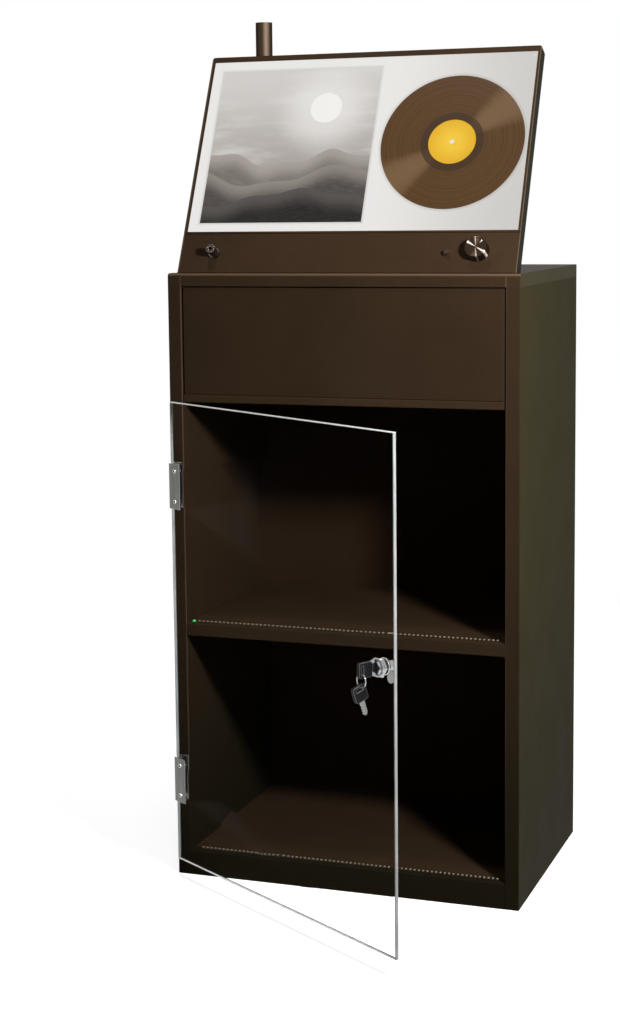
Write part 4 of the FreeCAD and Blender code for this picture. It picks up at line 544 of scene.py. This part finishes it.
finishes = {
    "brown_board": brown_paint("brown_board_paint", BROWN, painted_side_tint=OLIVE_REFLECTION_TINT, arris=EDGE_HIGHLIGHT,
                               foot=FOOT_SHADE),
    "back_board": brown_paint("back_board_paint", mixed(60, 44, 31), 0.6, 0.01),
    # the head's sides take a dark painted tint, with a painted highlight line just inside
    # them
    "brown_sheet": brown_paint("brown_sheet_coat", mixed(67, 51, 37), 0.42, 0.005, 0.00005,
                               painted_side_tint=mixed(34, 33, 23), outer_at=-HEAD_LEFT - OUTER_SKIN,
                               rim=mixed(120, 102, 84)),
    "plain_wood": bare_wood("planed_softwood"),
    "zinc_steel": drawn_metal("zinc_plated_steel", mixed(128, 128, 124), 0.34),
    "grey_rubber": moulded_plastic("grey_rubber", mixed(62, 62, 60), 0.7),
    "bright_chrome": drawn_metal("bright_chrome", mixed(176, 177, 179), 0.12, wear=0.7),
    "key_brass": drawn_metal("nickel_brass", mixed(150, 146, 136), 0.25),
    "key_steel": drawn_metal("key_steel", mixed(148, 148, 146), 0.25),
    "black_plastic": moulded_plastic("black_plastic", mixed(20, 20, 21), gloss=0.1),
    "dark_panel": lit_picture(),
    # the knob face's light colour is its painted highlight streaks
    "spun_aluminium": spun_face("spun_knob", mixed(66, 53, 43), mixed(196, 180, 168),
                                KNOB_CENTRE),
    "bare_metal": drawn_metal("plain_sheet_metal", mixed(170, 170, 168), 0.4),
    "light_strip": moulded_plastic("strip_ribbon", mixed(34, 28, 22), 0.5),
    "green_lamp": moulded_plastic("green_lens", mixed(44, 176, 92), 0.2, glow=0.8),
    "circuit_board": moulded_plastic("circuit_board", mixed(24, 84, 44), 0.35),
    "dark_button": moulded_plastic("button_cap", mixed(58, 44, 34), 0.3),
    "clear_glass": clear_glass("clear_sheet_glass", (0.99, 0.995, 0.99, 1.0), 1.014),
}
# the mast's bright stripe and dark flanks are painted highlight and painted shade
mast_painted_sheen = painted_sheen_tube("mast_painted_sheen", mixed(38, 32, 23), mixed(80, 64, 50),
                       mixed(172, 148, 128), "mast_cap")
# the bay boards' front edges take the painted shade towards the bottom
bay_coat = brown_paint("bay_floor_paint", toned(BROWN, 1.16), painted_side_tint=OLIVE_REFLECTION_TINT,
                       foot=FOOT_SHADE, foot_to=EDGES_ONLY)
top_coat = brown_paint("top_board_paint", BROWN, gloss=0.02, painted_side_tint=OLIVE_REFLECTION_TINT, arris=EDGE_HIGHLIGHT)
bush_coat = moulded_plastic("button_ring", mixed(66, 51, 38), 0.3, gloss=0.12)
chip_white = moulded_plastic("lamp_chip", mixed(146, 132, 112), 0.4, glow=0.12)
chip_lens = moulded_plastic("lamp_chip_lens", mixed(196, 176, 132), 0.3, glow=0.18)
# the door glass's ends and top: pale colour and glow as painted light gathered in the glass
glass_end_light = glass_edge_light("glass_end_painted_light", mixed(184, 186, 185),
                           mixed(208, 210, 209))
glass_top_glow = glass_edge_light("glass_top_painted_glow", mixed(215, 217, 216),
                               mixed(238, 239, 238), glow=0.35)
arris_finish = glass_edge_light("ground_glass_arris", mixed(112, 114, 113),
                            mixed(140, 142, 141), 0.1)
# near-black: painted shade in the screw slots and on the cover glass's edges, and the
# resistors' own black
black_and_recess_shade = moulded_plastic("black_and_recess_shade", mixed(14, 14, 14), 0.7, gloss=0.05)
tick_steel = drawn_metal("bright_tick", mixed(225, 214, 204), 0.2)
dark_nickel = drawn_metal("dark_nickel", mixed(96, 84, 76), 0.28)
socket_brown = moulded_plastic("socket_brown", mixed(34, 27, 23), 0.3, gloss=0.3)
# bright copper on the socket's eased edges: painted glints
highlight_copper = drawn_metal("highlight_copper", mixed(196, 172, 160), 0.25)
# dark steel on the lock plug's face: painted shade in the keyway
plug_shade_steel = drawn_metal("plug_shade_steel", mixed(58, 55, 50), 0.35)
cam_steel = drawn_metal("cam_steel", mixed(156, 156, 154), 0.3)
shaded_chrome = drawn_metal("shaded_chrome", mixed(122, 123, 125), 0.12, wear=0.7)
leaf_steel = drawn_metal("hinge_leaf_steel", mixed(112, 112, 110), 0.36)
# bright steel for eased edges and bolt heads, pale grey plastic for the key heads' edges:
# painted glints and highlights
highlight_steel = drawn_metal("highlight_steel", mixed(214, 214, 210), 0.22)
highlight_plastic = moulded_plastic("key_plastic_highlight", mixed(104, 104, 106), 0.4)


def dress_cad_nodes():
    """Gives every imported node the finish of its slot, and a few their own."""
    for node in nodes.values():
        for row in node.material_slots:
            row.material = finishes[row.material.name.split(".")[0]]
    for node, finish in (("mast_post", mast_painted_sheen), ("mast_cap", mast_painted_sheen),
                         ("button_bush", bush_coat), ("socket_nut", dark_nickel),
                         ("lock_plug", plug_shade_steel), ("lock_cam", cam_steel),
                         ("top_board", top_coat), ("bay_floor", bay_coat),
                         ("floor_board", bay_coat), ("middle_shelf", bay_coat)):
        nodes[node].material_slots[0].material = finish


# ---------------------------------------------------------------- stage and lamps

def seen_directly(tree):
    """1 for rays from the camera, metal or glass, and 0 for those that light a surface."""
    ray = place(tree, "ShaderNodeLightPath")
    seen = sums(tree, "MAXIMUM", ray.outputs["Is Camera Ray"], ray.outputs["Is Glossy Ray"])
    seen = sums(tree, "MAXIMUM", seen, ray.outputs["Is Transmission Ray"])
    lighting = sums(tree, "MINIMUM", ray.outputs["Diffuse Depth"], 1.0)
    return times(tree, seen, minus(tree, 1.0, lighting))


FLOOR_HALF = 6.0
FLOOR_FADES_FROM, FLOOR_WHITE_FROM = 0.9, 2.2       # from the cabinet's middle


def lay_floor():
    """A pale floor that keeps the cabinet's shadow and fades into the white beyond."""
    mesh = bpy.data.meshes.new("studio_floor")
    half = FLOOR_HALF
    mesh.from_pydata([(-half, -half, 0), (half, -half, 0), (half, half, 0),
                      (-half, half, 0)], [], [(0, 1, 2, 3)])
    floor = bpy.data.objects.new("studio_floor", mesh)
    scene.collection.objects.link(floor)
    finish = bpy.data.materials.new("floor_paint")
    finish.use_nodes = True
    tree = finish.node_tree
    tree.nodes.remove(tree.nodes["Principled BSDF"])
    matt = place(tree, "ShaderNodeBsdfDiffuse", {"Color": (0.8, 0.8, 0.8, 1.0)})
    low_matt = place(tree, "ShaderNodeBsdfDiffuse", {"Color": (0.22, 0.21, 0.19, 1.0)})
    away = vector_sums(tree, "LENGTH", object_place(tree))
    far = step_up(tree, away, FLOOR_FADES_FROM, FLOOR_WHITE_FROM)
    white = place(tree, "ShaderNodeEmission", {"Color": (1.0, 1.0, 1.0, 1.0)})
    glow = place(tree, "ShaderNodeEmission", {"Color": (0.82, 0.82, 0.82, 1.0)})
    near = place(tree, "ShaderNodeAddShader", {0: matt.outputs[0], 1: glow.outputs[0]})
    shown = place(tree, "ShaderNodeMixShader",
                  {0: far, 1: near.outputs[0], 2: white.outputs[0]})
    all_rays = place(tree, "ShaderNodeMixShader",
                     {0: seen_directly(tree), 1: low_matt.outputs[0], 2: shown.outputs[0]})
    feed(tree, tree.nodes["Material Output"].inputs["Surface"], all_rays.outputs[0])
    mesh.materials.append(finish)


def light_world(fill):
    """White where it is seen, and a low even fill where it lights."""
    world = bpy.data.worlds.new("studio")
    scene.world = world
    world.use_nodes = True
    tree = world.node_tree
    ground = tree.nodes["Background"]
    ground.inputs["Color"].default_value = (1.0, 1.0, 1.0, 1.0)
    soft = place(tree, "ShaderNodeBackground",
                 {"Color": (1.0, 1.0, 1.0, 1.0), "Strength": fill})
    both = place(tree, "ShaderNodeMixShader",
                 {0: seen_directly(tree), 1: soft.outputs[0], 2: ground.outputs[0]})
    feed(tree, tree.nodes["World Output"].inputs["Surface"], both.outputs[0])


def hang_lamp(name, where, power, radius):
    """A small round studio lamp; power is in watts."""
    lamp = bpy.data.lights.new(name, "POINT")
    lamp.energy = power
    lamp.shadow_soft_size = radius
    stand = bpy.data.objects.new(name, lamp)
    stand.location = where
    stand.visible_camera = False
    scene.collection.objects.link(stand)


def light_studio():
    """A lamp before the door, one above, one for the back, and the world's low fill."""
    hang_lamp("key_lamp", (0.99, -1.05, 1.28), 77.0, 0.09)
    hang_lamp("top_lamp", (-0.10, -0.55, 2.30), 20.0, 0.12)
    hang_lamp("rear_lamp", (-1.60, 2.30, 0.94), 90.0, 0.30)
    light_world(0.015)


# ---------------------------------------------------------------- making pieces

SMOOTH_ANGLE = math.radians(35.0)


def welded(node):
    """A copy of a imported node's mesh with its doubles merged."""
    shape = bmesh.new()
    shape.from_mesh(nodes[node].data)
    bmesh.ops.remove_doubles(shape, verts=shape.verts, dist=1e-6)
    return shape


def keep_mesh(name, mesh, body, stands_for=()):
    """Links a finished mesh as one piece on its body."""
    mesh.shade_smooth()
    mesh.set_sharp_from_angle(angle=SMOOTH_ANGLE)
    piece = bpy.data.objects.new(name, mesh)
    scene.collection.objects.link(piece)
    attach(piece, body)
    if stands_for:
        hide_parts(*stands_for)
    return piece


def keep_shape(name, shape, body, materials, stands_for=()):
    """Turns a bmesh into one piece on its body."""
    mesh = bpy.data.meshes.new(name)
    shape.to_mesh(mesh)
    shape.free()
    for material in materials:
        mesh.materials.append(material)
    return keep_mesh(name, mesh, body, stands_for)


def eased_copy(name, node, body, material, ease, steps=3, rubbed=None):
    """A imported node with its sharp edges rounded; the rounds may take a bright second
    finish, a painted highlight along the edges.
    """
    shape = welded(node)
    bmesh.ops.dissolve_limit(shape, angle_limit=math.radians(1.0), verts=shape.verts,
                             edges=shape.edges)
    sharp = [edge for edge in shape.edges
             if len(edge.link_faces) == 2 and edge.calc_face_angle() > SMOOTH_ANGLE]
    bmesh.ops.bevel(shape, geom=sharp, offset=ease, segments=steps, profile=0.5,
                    affect="EDGES", clamp_overlap=True, material=1 if rubbed else -1)
    return keep_shape(name, shape, body, [material] + ([rubbed] if rubbed else []),
                      (node,))


SQUARE_ON = 0.99                # the cosine above which a face counts as facing a way
CHAMFER_REACH = 0.001           # the door's arrises lie this near its ends
# a band along the top of the door's faces that takes the painted glow of the top edge
TOP_BAND = 0.0013
PANEL_GAP = 0.0003              # between the cover glass and the lit panel
CLEAR, END, ARRIS, TOP_EDGE = range(4)      # the order of the door's finishes


def door_pane():
    """The glass door: clear faces, pale ends, darker ground arrises and a narrow band on
    its top; the ends, the top and the band are painted light.
    """
    shape = welded("door_glass")
    for reach in (TOP_BAND, DOOR_HEIGHT - TOP_BAND):
        bmesh.ops.bisect_plane(shape, geom=shape.verts[:] + shape.edges[:] + shape.faces[:],
                               plane_co=DOOR_PIVOT + Vector((0, 0, reach)),
                               plane_no=(0, 0, 1), dist=1e-6)
    shape.normal_update()
    for face in shape.faces:
        middle = face.calc_center_median() - DOOR_PIVOT
        along = middle.dot(DOOR_ALONG)
        at_top = middle.z > DOOR_HEIGHT - CHAMFER_REACH
        rim = (along < DOOR_START + CHAMFER_REACH or along > DOOR_END - CHAMFER_REACH
               or middle.z < CHAMFER_REACH or at_top)
        flat = abs(face.normal.dot(DOOR_OUT)) > SQUARE_ON
        level = abs(face.normal.z) > SQUARE_ON
        upright_end = abs(face.normal.dot(DOOR_ALONG)) > SQUARE_ON
        if flat:
            face.material_index = TOP_EDGE if middle.z > DOOR_HEIGHT - TOP_BAND else CLEAR
        elif rim:
            face.material_index = (TOP_EDGE if at_top or level
                                   else END if upright_end else ARRIS)
        else:
            face.material_index = CLEAR
    keep_shape("door_pane", shape, "door",
               [finishes["clear_glass"], glass_end_light, arris_finish, glass_top_glow],
               ("door_glass",))


def cover_glass():
    """The screen's cover glass, its rear face a hair off the lit panel behind it."""
    shape = welded("screen_glass")
    front = max(vert.co.dot(HEAD_OUT) for vert in shape.verts)
    for vert in shape.verts:
        if vert.co.dot(HEAD_OUT) < front - 0.001:
            vert.co += HEAD_OUT * PANEL_GAP
    shape.normal_update()
    # the edge faces are near-black, painted shade for the narrow gap round the lit panel
    for face in shape.faces:
        face.material_index = 0 if abs(face.normal.dot(HEAD_OUT)) > SQUARE_ON else 1
    keep_shape("cover_glass", shape, "cabinet",
               [finishes["clear_glass"], black_and_recess_shade], ("screen_glass",))


# ---------------------------------------------------------------- shape trees

def shape_tree(name, inputs):
    """A new Geometry Nodes tree; inputs lists the names of each kind of input.

    Returns the tree, its start and its end."""
    tree = bpy.data.node_groups.new(name, "GeometryNodeTree")
    face = tree.interface
    face.new_socket("Geometry", in_out="INPUT", socket_type="NodeSocketGeometry")
    for kind, titles in inputs.items():
        for title in titles:
            face.new_socket(title, in_out="INPUT", socket_type="NodeSocket" + kind)
    face.new_socket("Geometry", in_out="OUTPUT", socket_type="NodeSocketGeometry")
    start = tree.nodes.new("NodeGroupInput")
    end = tree.nodes.new("NodeGroupOutput")
    return tree, start.outputs, end.inputs


def grown(name, tree, seeds, values):
    """Runs a shape tree on a seed mesh and returns the plain mesh it makes."""
    holder = bpy.data.objects.new(name, seeds)
    scene.collection.objects.link(holder)
    grower = holder.modifiers.new(name, "NODES")
    grower.node_group = tree
    for item in tree.interface.items_tree:
        if item.in_out == "INPUT" and item.name in values:
            grower[item.identifier] = values[item.name]
    ready = holder.evaluated_get(bpy.context.evaluated_depsgraph_get())
    mesh = bpy.data.meshes.new_from_object(ready)
    mesh.name = name
    used = {face.material_index for face in mesh.polygons}
    for row in reversed(range(len(mesh.materials))):
        if row not in used:
            mesh.materials.pop(index=row)
    bpy.data.objects.remove(holder)
    return mesh


def cube(tree, long, wide, high):
    """A block round the origin."""
    return place(tree, "GeometryNodeMeshCube",
                 {"Size": vector(tree, X=long, Y=wide, Z=high)}).outputs[0]


def rod(tree, corners, radius, depth):
    """A rod along Z, with its middle at the origin."""
    return place(tree, "GeometryNodeMeshCylinder",
                 {"Vertices": corners, "Radius": radius, "Depth": depth}).outputs[0]


def cone(tree, corners, top, foot, depth):
    """A cut-off cone that stands on the origin; top and foot are its radii."""
    return place(tree, "GeometryNodeMeshCone",
                 {"Vertices": corners, "Side Segments": 1, "Fill Segments": 1,
                  "Radius Top": top, "Radius Bottom": foot, "Depth": depth}).outputs[0]


def moved(tree, geometry, shift=(0.0, 0.0, 0.0), turn=(0.0, 0.0, 0.0)):
    """One Transform Geometry node's output."""
    return place(tree, "GeometryNodeTransform",
                 {"Geometry": geometry, "Translation": shift, "Rotation": turn}).outputs[0]


def joined(tree, *geometries):
    """One Join Geometry node's output."""
    join = tree.nodes.new("GeometryNodeJoinGeometry")
    for geometry in geometries:
        tree.links.new(geometry, join.inputs[0])
    return join.outputs[0]


def dressed(tree, geometry, material):
    """One Set Material node's output."""
    return place(tree, "GeometryNodeSetMaterial",
                 {"Geometry": geometry, "Material": material}).outputs[0]


def screw_tree():
    """A cross-slotted screw on every seed point, standing out along its facing."""
    tree, given, end = shape_tree("cross_slotted_screws", {
        "Float": ("Head Radius", "Crown Radius", "Head Height", "Shank Radius",
                  "Shank Length", "Nut Radius", "Nut Height", "Slot Share"),
        "Bool": ("With Nut",), "Material": ("Metal", "Recess")})
    head = cone(tree, 28, given["Crown Radius"], given["Head Radius"], given["Head Height"])
    head = dressed(tree, head, given["Metal"])
    long_way = times(tree, given["Head Radius"], 1.15)
    narrow = times(tree, given["Head Radius"], given["Slot Share"])
    deep = times(tree, given["Head Height"], 1.3)
    for wide, thick in ((long_way, narrow), (narrow, long_way)):
        slot = cube(tree, wide, thick, deep)
        # the slot walls take the near-black finish: painted shade in the recess
        tool = dressed(tree, moved(tree, slot, vector(tree, Z=given["Head Height"])),
                       given["Recess"])
        carve = place(tree, "GeometryNodeMeshBoolean", operation="DIFFERENCE",
                      solver="EXACT")
        feed(tree, carve.inputs["Mesh 1"], head)
        feed(tree, carve.inputs["Mesh 2"], tool)
        head = carve.outputs[0]
    shank = rod(tree, 16, given["Shank Radius"], given["Shank Length"])
    shank_drop = times(tree, given["Shank Length"], -0.5)
    shank = dressed(tree, moved(tree, shank, vector(tree, Z=shank_drop)), given["Metal"])
    nut = rod(tree, 6, given["Nut Radius"], given["Nut Height"])
    nut_drop = minus(tree, times(tree, given["Nut Height"], 0.5), given["Shank Length"])
    nut = dressed(tree, moved(tree, nut, vector(tree, Z=nut_drop)), given["Metal"])
    nut = place(tree, "GeometryNodeSwitch", {"Switch": given["With Nut"], "True": nut},
                input_type="GEOMETRY").outputs[0]
    screw = joined(tree, head, shank, nut)
    facing = place(tree, "GeometryNodeInputNamedAttribute", {"Name": "facing"},
                   data_type="FLOAT_VECTOR").outputs[0]
    spin = place(tree, "GeometryNodeInputNamedAttribute", {"Name": "spin"},
                 data_type="FLOAT").outputs[0]
    stand = place(tree, "FunctionNodeAlignRotationToVector", {"Vector": facing}, axis="Z")
    own_turn = place(tree, "FunctionNodeAxisAngleToRotation",
                     {"Axis": (0.0, 0.0, 1.0), "Angle": spin}).outputs[0]
    turned = place(tree, "FunctionNodeRotateRotation",
                   {"Rotation": stand.outputs[0], "Rotate By": own_turn},
                   rotation_space="LOCAL").outputs[0]
    points = place(tree, "GeometryNodeMeshToPoints", {"Mesh": given["Geometry"]}).outputs[0]
    row = place(tree, "GeometryNodeInstanceOnPoints",
                {"Points": points, "Instance": screw, "Rotation": turned}).outputs[0]
    solid = place(tree, "GeometryNodeRealizeInstances", {"Geometry": row}).outputs[0]
    feed(tree, end["Geometry"], solid)
    return tree


def islands(node):
    """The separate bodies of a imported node, each as a list of its points."""
    shape = welded(node)
    left = set(shape.verts)
    groups = []
    for seed in shape.verts:
        if seed not in left:
            continue
        left.remove(seed)
        reached, row = [seed], [seed]
        while row:
            for edge in row.pop().link_edges:
                for other in edge.verts:
                    if other in left:
                        left.remove(other)
                        reached.append(other)
                        row.append(other)
        groups.append([vert.co.copy() for vert in reached])
    shape.free()
    return groups


def spread(points, along):
    """Lowest and highest reach of the points along a direction."""
    reaches = [point.dot(along) for point in points]
    return min(reaches), max(reaches)


SLANT = Vector((0.31, 0.67, 0.67))      # lies along none of the ways that screws face
FIRST_SPIN, SPIN_STEP = 0.5, 1.37       # radians; no two neighbours' slots line up
SUNK_FOOT_SHARE = 0.55                  # a sunk head's foot, as a share of its radius
SHANK_SHARE = 0.45
PAN_HEAD = {"head_height": 0.0024, "crown": 0.82}
SUNK_HEAD = {"head_height": 0.0016, "crown": 1.0, "sunk": True}


def screws_for(tree, node, body, facing, head_height, crown, sunk=False, head_radius=None,
               nut_height=0.0, slot_share=0.24, metal=None):
    """Cross-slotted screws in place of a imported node's plain ones."""
    side = facing.cross(SLANT).normalized()
    seeds = bpy.data.meshes.new(node + "_seeds")
    tops, spins, shanks, heads = [], [], [], []
    for order, points in enumerate(islands(node)):
        low, high = spread(points, facing)
        near, far = spread(points, side)
        cross = facing.cross(side)
        near_c, far_c = spread(points, cross)
        centre = (side * (near + far) + cross * (near_c + far_c)) / 2
        tops.append(centre + facing * (high - head_height))
        spins.append(FIRST_SPIN + SPIN_STEP * order)
        shanks.append(high - low - head_height)
        heads.append((far - near) / 2)
    seeds.from_pydata(tops, [], [])
    facings = seeds.attributes.new("facing", "FLOAT_VECTOR", "POINT")
    facings.data.foreach_set("vector", [part for _ in tops for part in facing])
    turns = seeds.attributes.new("spin", "FLOAT", "POINT")
    turns.data.foreach_set("value", spins)
    nut_radius = max(heads)
    head_radius = head_radius or nut_radius
    values = {"Head Radius": head_radius * (SUNK_FOOT_SHARE if sunk else 1.0),
              "Crown Radius": head_radius * (1.0 if sunk else crown),
              "Head Height": head_height,
              "Shank Radius": head_radius * SHANK_SHARE, "Shank Length": max(shanks),
              "Nut Radius": nut_radius, "Nut Height": nut_height,
              "With Nut": nut_height > 0.0, "Slot Share": slot_share,
              "Metal": metal or finishes["zinc_steel"], "Recess": black_and_recess_shade}
    mesh = grown(node + "_slotted", tree, seeds, values)
    keep_mesh(node + "_slotted", mesh, body, (node,))


# ---------------------------------------------------------------- lamp strips

CHIP_PITCH = 0.00694
CHIP_COUNT = 71
CHIP_SIZE = 0.0030
RIBBON_THICKNESS = 0.0006
CHIP_HEADROOM = 0.00005         # left above the lenses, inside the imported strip's box


def strip_tree():
    """A ribbon with a row of lamp chips; every third gap holds a small resistor."""
    tree, given, end = shape_tree("lamp_strip", {
        "Float": ("Length", "Width", "Thickness", "Pitch", "Chip Size", "Chip Height"),
        "Int": ("Count",), "Vector": ("Place",),
        "Material": ("Ribbon", "Chip", "Lens", "Resistor")})
    ribbon = cube(tree, given["Length"], given["Width"], given["Thickness"])
    ribbon = moved(tree, ribbon, vector(tree, Z=times(tree, given["Thickness"], 0.5)))
    ribbon = dressed(tree, ribbon, given["Ribbon"])
    corner = math.sqrt(0.5)
    block = cone(tree, 4, times(tree, given["Chip Size"], corner * 0.9),
                 times(tree, given["Chip Size"], corner), given["Chip Height"])
    block = dressed(tree, moved(tree, block, turn=(0.0, 0.0, math.radians(45.0))),
                    given["Chip"])
    lens = rod(tree, 12, times(tree, given["Chip Size"], 0.36),
               times(tree, given["Chip Height"], 0.5))
    lens_rise = times(tree, given["Chip Height"], 0.77)
    lens = dressed(tree, moved(tree, lens, vector(tree, Z=lens_rise)), given["Lens"])
    span = times(tree, given["Pitch"], minus(tree, given["Count"], 1.0))
    first = vector(tree, X=times(tree, span, -0.5), Z=given["Thickness"])
    line = place(tree, "GeometryNodeMeshLine",
                 {"Count": given["Count"], "Start Location": first,
                  "Offset": vector(tree, X=given["Pitch"])}).outputs[0]
    chips = place(tree, "GeometryNodeInstanceOnPoints",
                  {"Points": line, "Instance": joined(tree, block, lens)}).outputs[0]
    resistor = cube(tree, times(tree, given["Chip Size"], 0.45),
                    times(tree, given["Chip Size"], 0.25),
                    times(tree, given["Chip Height"], 0.35))
    resistor = moved(tree, resistor, vector(tree, X=times(tree, given["Pitch"], 0.5),
                                            Z=times(tree, given["Chip Height"], 0.175)))
    resistor = dressed(tree, resistor, given["Resistor"])
    number = place(tree, "GeometryNodeInputIndex").outputs[0]
    third = sums(tree, "MODULO", number, 3.0)
    every_third = place(tree, "FunctionNodeCompare", {0: third, 1: 0.5},
                        operation="LESS_THAN").outputs[0]
    gaps = place(tree, "GeometryNodeInstanceOnPoints",
                 {"Points": line, "Instance": resistor,
                  "Selection": every_third}).outputs[0]
    whole = moved(tree, joined(tree, ribbon, chips, gaps), given["Place"])
    solid = place(tree, "GeometryNodeRealizeInstances", {"Geometry": whole}).outputs[0]
    feed(tree, end["Geometry"], solid)
    return tree


def lamp_strip(tree, node, name):
    """A strip of lamp chips on its ribbon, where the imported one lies."""
    low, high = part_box(node)
    values = {"Length": high.x - low.x, "Width": high.y - low.y,
              "Thickness": RIBBON_THICKNESS,
              "Pitch": CHIP_PITCH, "Count": CHIP_COUNT, "Chip Size": CHIP_SIZE,
              "Chip Height": high.z - low.z - RIBBON_THICKNESS - CHIP_HEADROOM,
              "Place": ((low.x + high.x) / 2, (low.y + high.y) / 2, low.z),
              "Ribbon": finishes["light_strip"], "Chip": chip_white, "Lens": chip_lens,
              "Resistor": black_and_recess_shade}
    seed = bpy.data.meshes.new(name + "_seed")
    keep_mesh(name, grown(name, tree, seed, values), "cabinet", (node,))


# ---------------------------------------------------------------- knob tick

KNOB_DISH = 0.0008              # how far the knob's face lies below its rim
TICK_STANDS = 0.00012           # above that face
TICK_BEARING = math.radians(48.0)
TICK_EASE = 0.00008


def knob_tick():
    """A short bright line let into the knob's face near its rim."""
    rim = max(vert.co.dot(HEAD_OUT) for vert in nodes["volume_knob"].data.vertices)
    out = rim - KNOB_DISH + TICK_STANDS
    along = HEAD_RIGHT * math.cos(TICK_BEARING) + HEAD_UP * math.sin(TICK_BEARING)
    across = HEAD_OUT.cross(along)
    middle = KNOB_CENTRE + HEAD_OUT * (out - KNOB_CENTRE.dot(HEAD_OUT))
    shape = bmesh.new()
    near, far, half, sunk = 0.0088, 0.0136, 0.0006, 0.0004
    corners = [(near, -half), (far, -half), (far, half), (near, half)]
    top = [shape.verts.new(middle + along * a + across * b) for a, b in corners]
    foot = [shape.verts.new(vert.co - HEAD_OUT * sunk) for vert in top]
    shape.faces.new(top)
    shape.faces.new(foot[::-1])
    for i in range(4):
        j = (i + 1) % 4
        shape.faces.new((top[i], foot[i], foot[j], top[j]))
    bmesh.ops.recalc_face_normals(shape, faces=shape.faces)
    bmesh.ops.bevel(shape, geom=shape.edges[:], offset=TICK_EASE, segments=2, profile=0.5,
                    affect="EDGES")
    keep_shape("knob_tick", shape, "knob", [tick_steel])


# ---------------------------------------------------------------- making

set_up_camera()
lay_floor()
light_studio()
dress_cad_nodes()

door_pane()
cover_glass()
# The eased copies' rounds take bright finishes: painted highlights along their edges.
for node, body in (("key_head", "door_key"), ("spare_key_head", "spare_key")):
    eased_copy(node + "_moulded", node, body, finishes["black_plastic"],
               0.0007, rubbed=highlight_plastic)
eased_copy("lock_nut_eased", "lock_nut", "door", shaded_chrome, 0.0008, 2,
           highlight_steel)
eased_copy("lock_bezel_eased", "lock_bezel", "door",
           finishes["bright_chrome"], 0.0006, 2, highlight_steel)
eased_copy("headphone_socket_eased", "headphone_socket", "cabinet",
           socket_brown, 0.0005, 2, highlight_copper)
for level in ("upper", "lower"):
    for leaf, body in (("door_leaf", "door"), ("frame_leaf", "cabinet")):
        node = level + "_hinge_" + leaf
        eased_copy(node + "_eased", node, body, leaf_steel, 0.0004, 2,
                   highlight_steel)
strips = strip_tree()
lamp_strip(strips, "shelf_light_strip", "shelf_lamp_strip")
lamp_strip(strips, "base_light_strip", "base_lamp_strip")
screws = screw_tree()
UP, BACK, LEFT, FRONT = (Vector(v) for v in ((0, 0, 1), (0, 1, 0), (-1, 0, 0), (0, -1, 0)))
# the glass bolts' heads in the bright steel: painted glints
screws_for(screws, "hinge_glass_bolts", "door", DOOR_OUT, head_height=0.0012, crown=0.9,
           head_radius=0.0036, nut_height=0.0015, slot_share=0.75, metal=highlight_steel)
for node, facing, head in (("hinge_frame_screws", FRONT, SUNK_HEAD),
                           ("strike_screws", LEFT, SUNK_HEAD),
                           ("mast_screws", UP, PAN_HEAD), ("bracket_screws", UP, PAN_HEAD),
                           ("back_panel_screws", BACK, PAN_HEAD)):
    screws_for(screws, node, "cabinet", facing, **head)
knob_tick()

scene.view_settings.view_transform = "Standard"
